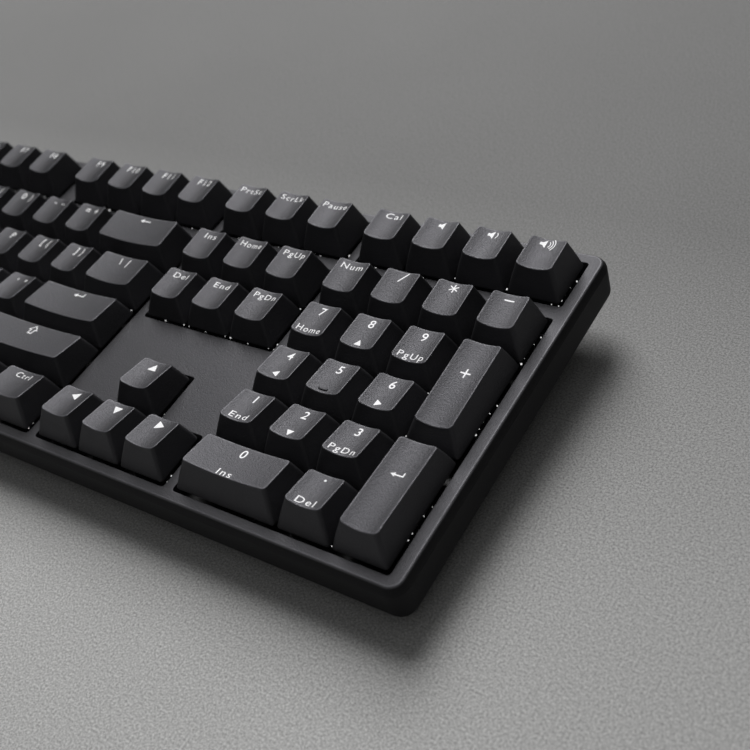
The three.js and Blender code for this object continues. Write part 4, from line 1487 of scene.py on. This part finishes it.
def build_floor():
    half = 4                        # metres
    mesh = bpy.data.meshes.new("floor")
    mesh.from_pydata([(-half, -half, 0), (half, -half, 0), (half, half, 0), (-half, half, 0)],
                     [], [(0, 1, 2, 3)])
    mesh.materials.append(desk_mat())
    floor = bpy.data.objects.new("floor", mesh)
    bpy.context.scene.collection.objects.link(floor)
    floor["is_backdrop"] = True


def build_world():
    """dim light that grows with height; the camera itself sees a pale backdrop"""
    world = bpy.data.worlds.new("studio")
    world.use_nodes = True
    bpy.context.scene.world = world
    tree = world.node_tree
    light = tree.nodes["Background"]
    coordinates = tree.nodes.new("ShaderNodeTexCoord")
    split = add_node(tree, "SeparateXYZ", {0: coordinates.outputs["Generated"]})
    height_ramp = ramp(tree, split.outputs["Z"],
                       (0.0, 0.03), (0.45, 0.045), (0.8, 0.12), (1.0, 0.15))
    set_inputs(tree, light, {0: height_ramp, 1: 1.0})
    backdrop = add_node(tree, "Background", {0: (0.21, 0.21, 0.208, 1)})
    path = tree.nodes.new("ShaderNodeLightPath")
    both = add_node(tree, "MixShader", {
        0: path.outputs["Is Camera Ray"], 1: light.outputs[0], 2: backdrop.outputs[0]})
    output = next(node for node in tree.nodes if node.type == "OUTPUT_WORLD")
    tree.links.new(both.outputs[0], output.inputs["Surface"])


def area_light(name, direction, distance, size, radiance, target, colour=(1, 1, 1)):
    """rectangular light in metres that looks at target from a direction"""
    light = bpy.data.lights.new(name, "AREA")
    light.shape = "RECTANGLE"
    light.size, light.size_y = size
    light.energy = radiance * math.pi * size[0] * size[1]
    light.color = colour
    ob = bpy.data.objects.new(name, light)
    toward_light = Vector(direction).normalized()
    ob.location = Vector(target) + toward_light * distance
    ob.rotation_euler = (-toward_light).to_track_quat("-Z", "Y").to_euler()
    bpy.context.scene.collection.objects.link(ob)


def build_camera():
    """camera in front of the right end, placed and turned in the deck frame"""
    yaw, pitch, roll = (math.radians(a) for a in (-47.38422, 43.70955, -21.39081))
    place = Vector((562.5505 + GRID_X, -102.4514 + GRID_Y, 233.7531))
    ahead = Vector((math.sin(yaw) * math.cos(pitch), math.cos(yaw) * math.cos(pitch),
                    -math.sin(pitch)))
    level_right = Vector((math.cos(yaw), -math.sin(yaw), 0))
    level_up = level_right.cross(ahead)
    right = math.cos(roll) * level_right + math.sin(roll) * level_up
    up = -math.sin(roll) * level_right + math.cos(roll) * level_up
    rotation = Matrix((right, up, -ahead)).transposed().to_4x4()
    deck_metres = Matrix.Translation(DECK.translation * MM) @ Matrix.Rotation(TILT, 4, "X")

    camera = bpy.data.cameras.new("camera")
    camera.sensor_width = 36.0
    camera.lens = 52.385232
    camera.clip_start, camera.clip_end = 0.01, 20
    ob = bpy.data.objects.new("camera", camera)
    bpy.context.scene.collection.objects.link(ob)
    ob.matrix_world = deck_metres @ Matrix.Translation(place * MM) @ rotation
    bpy.context.scene.camera = ob

    # the focus stays on this point of the keyboard, wherever the camera is moved to
    focus_distance = 0.325          # metres
    focus = bpy.data.objects.new("focus_point", None)
    bpy.context.scene.collection.objects.link(focus)
    focus.location = ob.matrix_world @ Vector((0, 0, -focus_distance))
    focus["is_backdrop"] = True
    camera.dof.use_dof = True
    camera.dof.focus_object = focus
    camera.dof.aperture_fstop = 18.0


build_floor()
build_world()
bpy.context.scene.view_settings.view_transform = "Standard"
# broad soft box behind and to the left, and a weak fill from the front
area_light("softbox", direction=(-0.362, 0.544, 0.757), distance=2.36, size=(1.10, 1.64),
           radiance=9.0, target=(0.1, 0, 0.027), colour=(1.0, 0.995, 1.0))
area_light("fill", direction=(0.3, -0.8, 0.7), distance=1.8, size=(1.0, 1.0),
           radiance=0.25, target=(0.1, 0, 0.02))
build_camera()

size = {"cad_box": CAD_BOX, "visual_box": [list(v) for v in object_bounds()]}
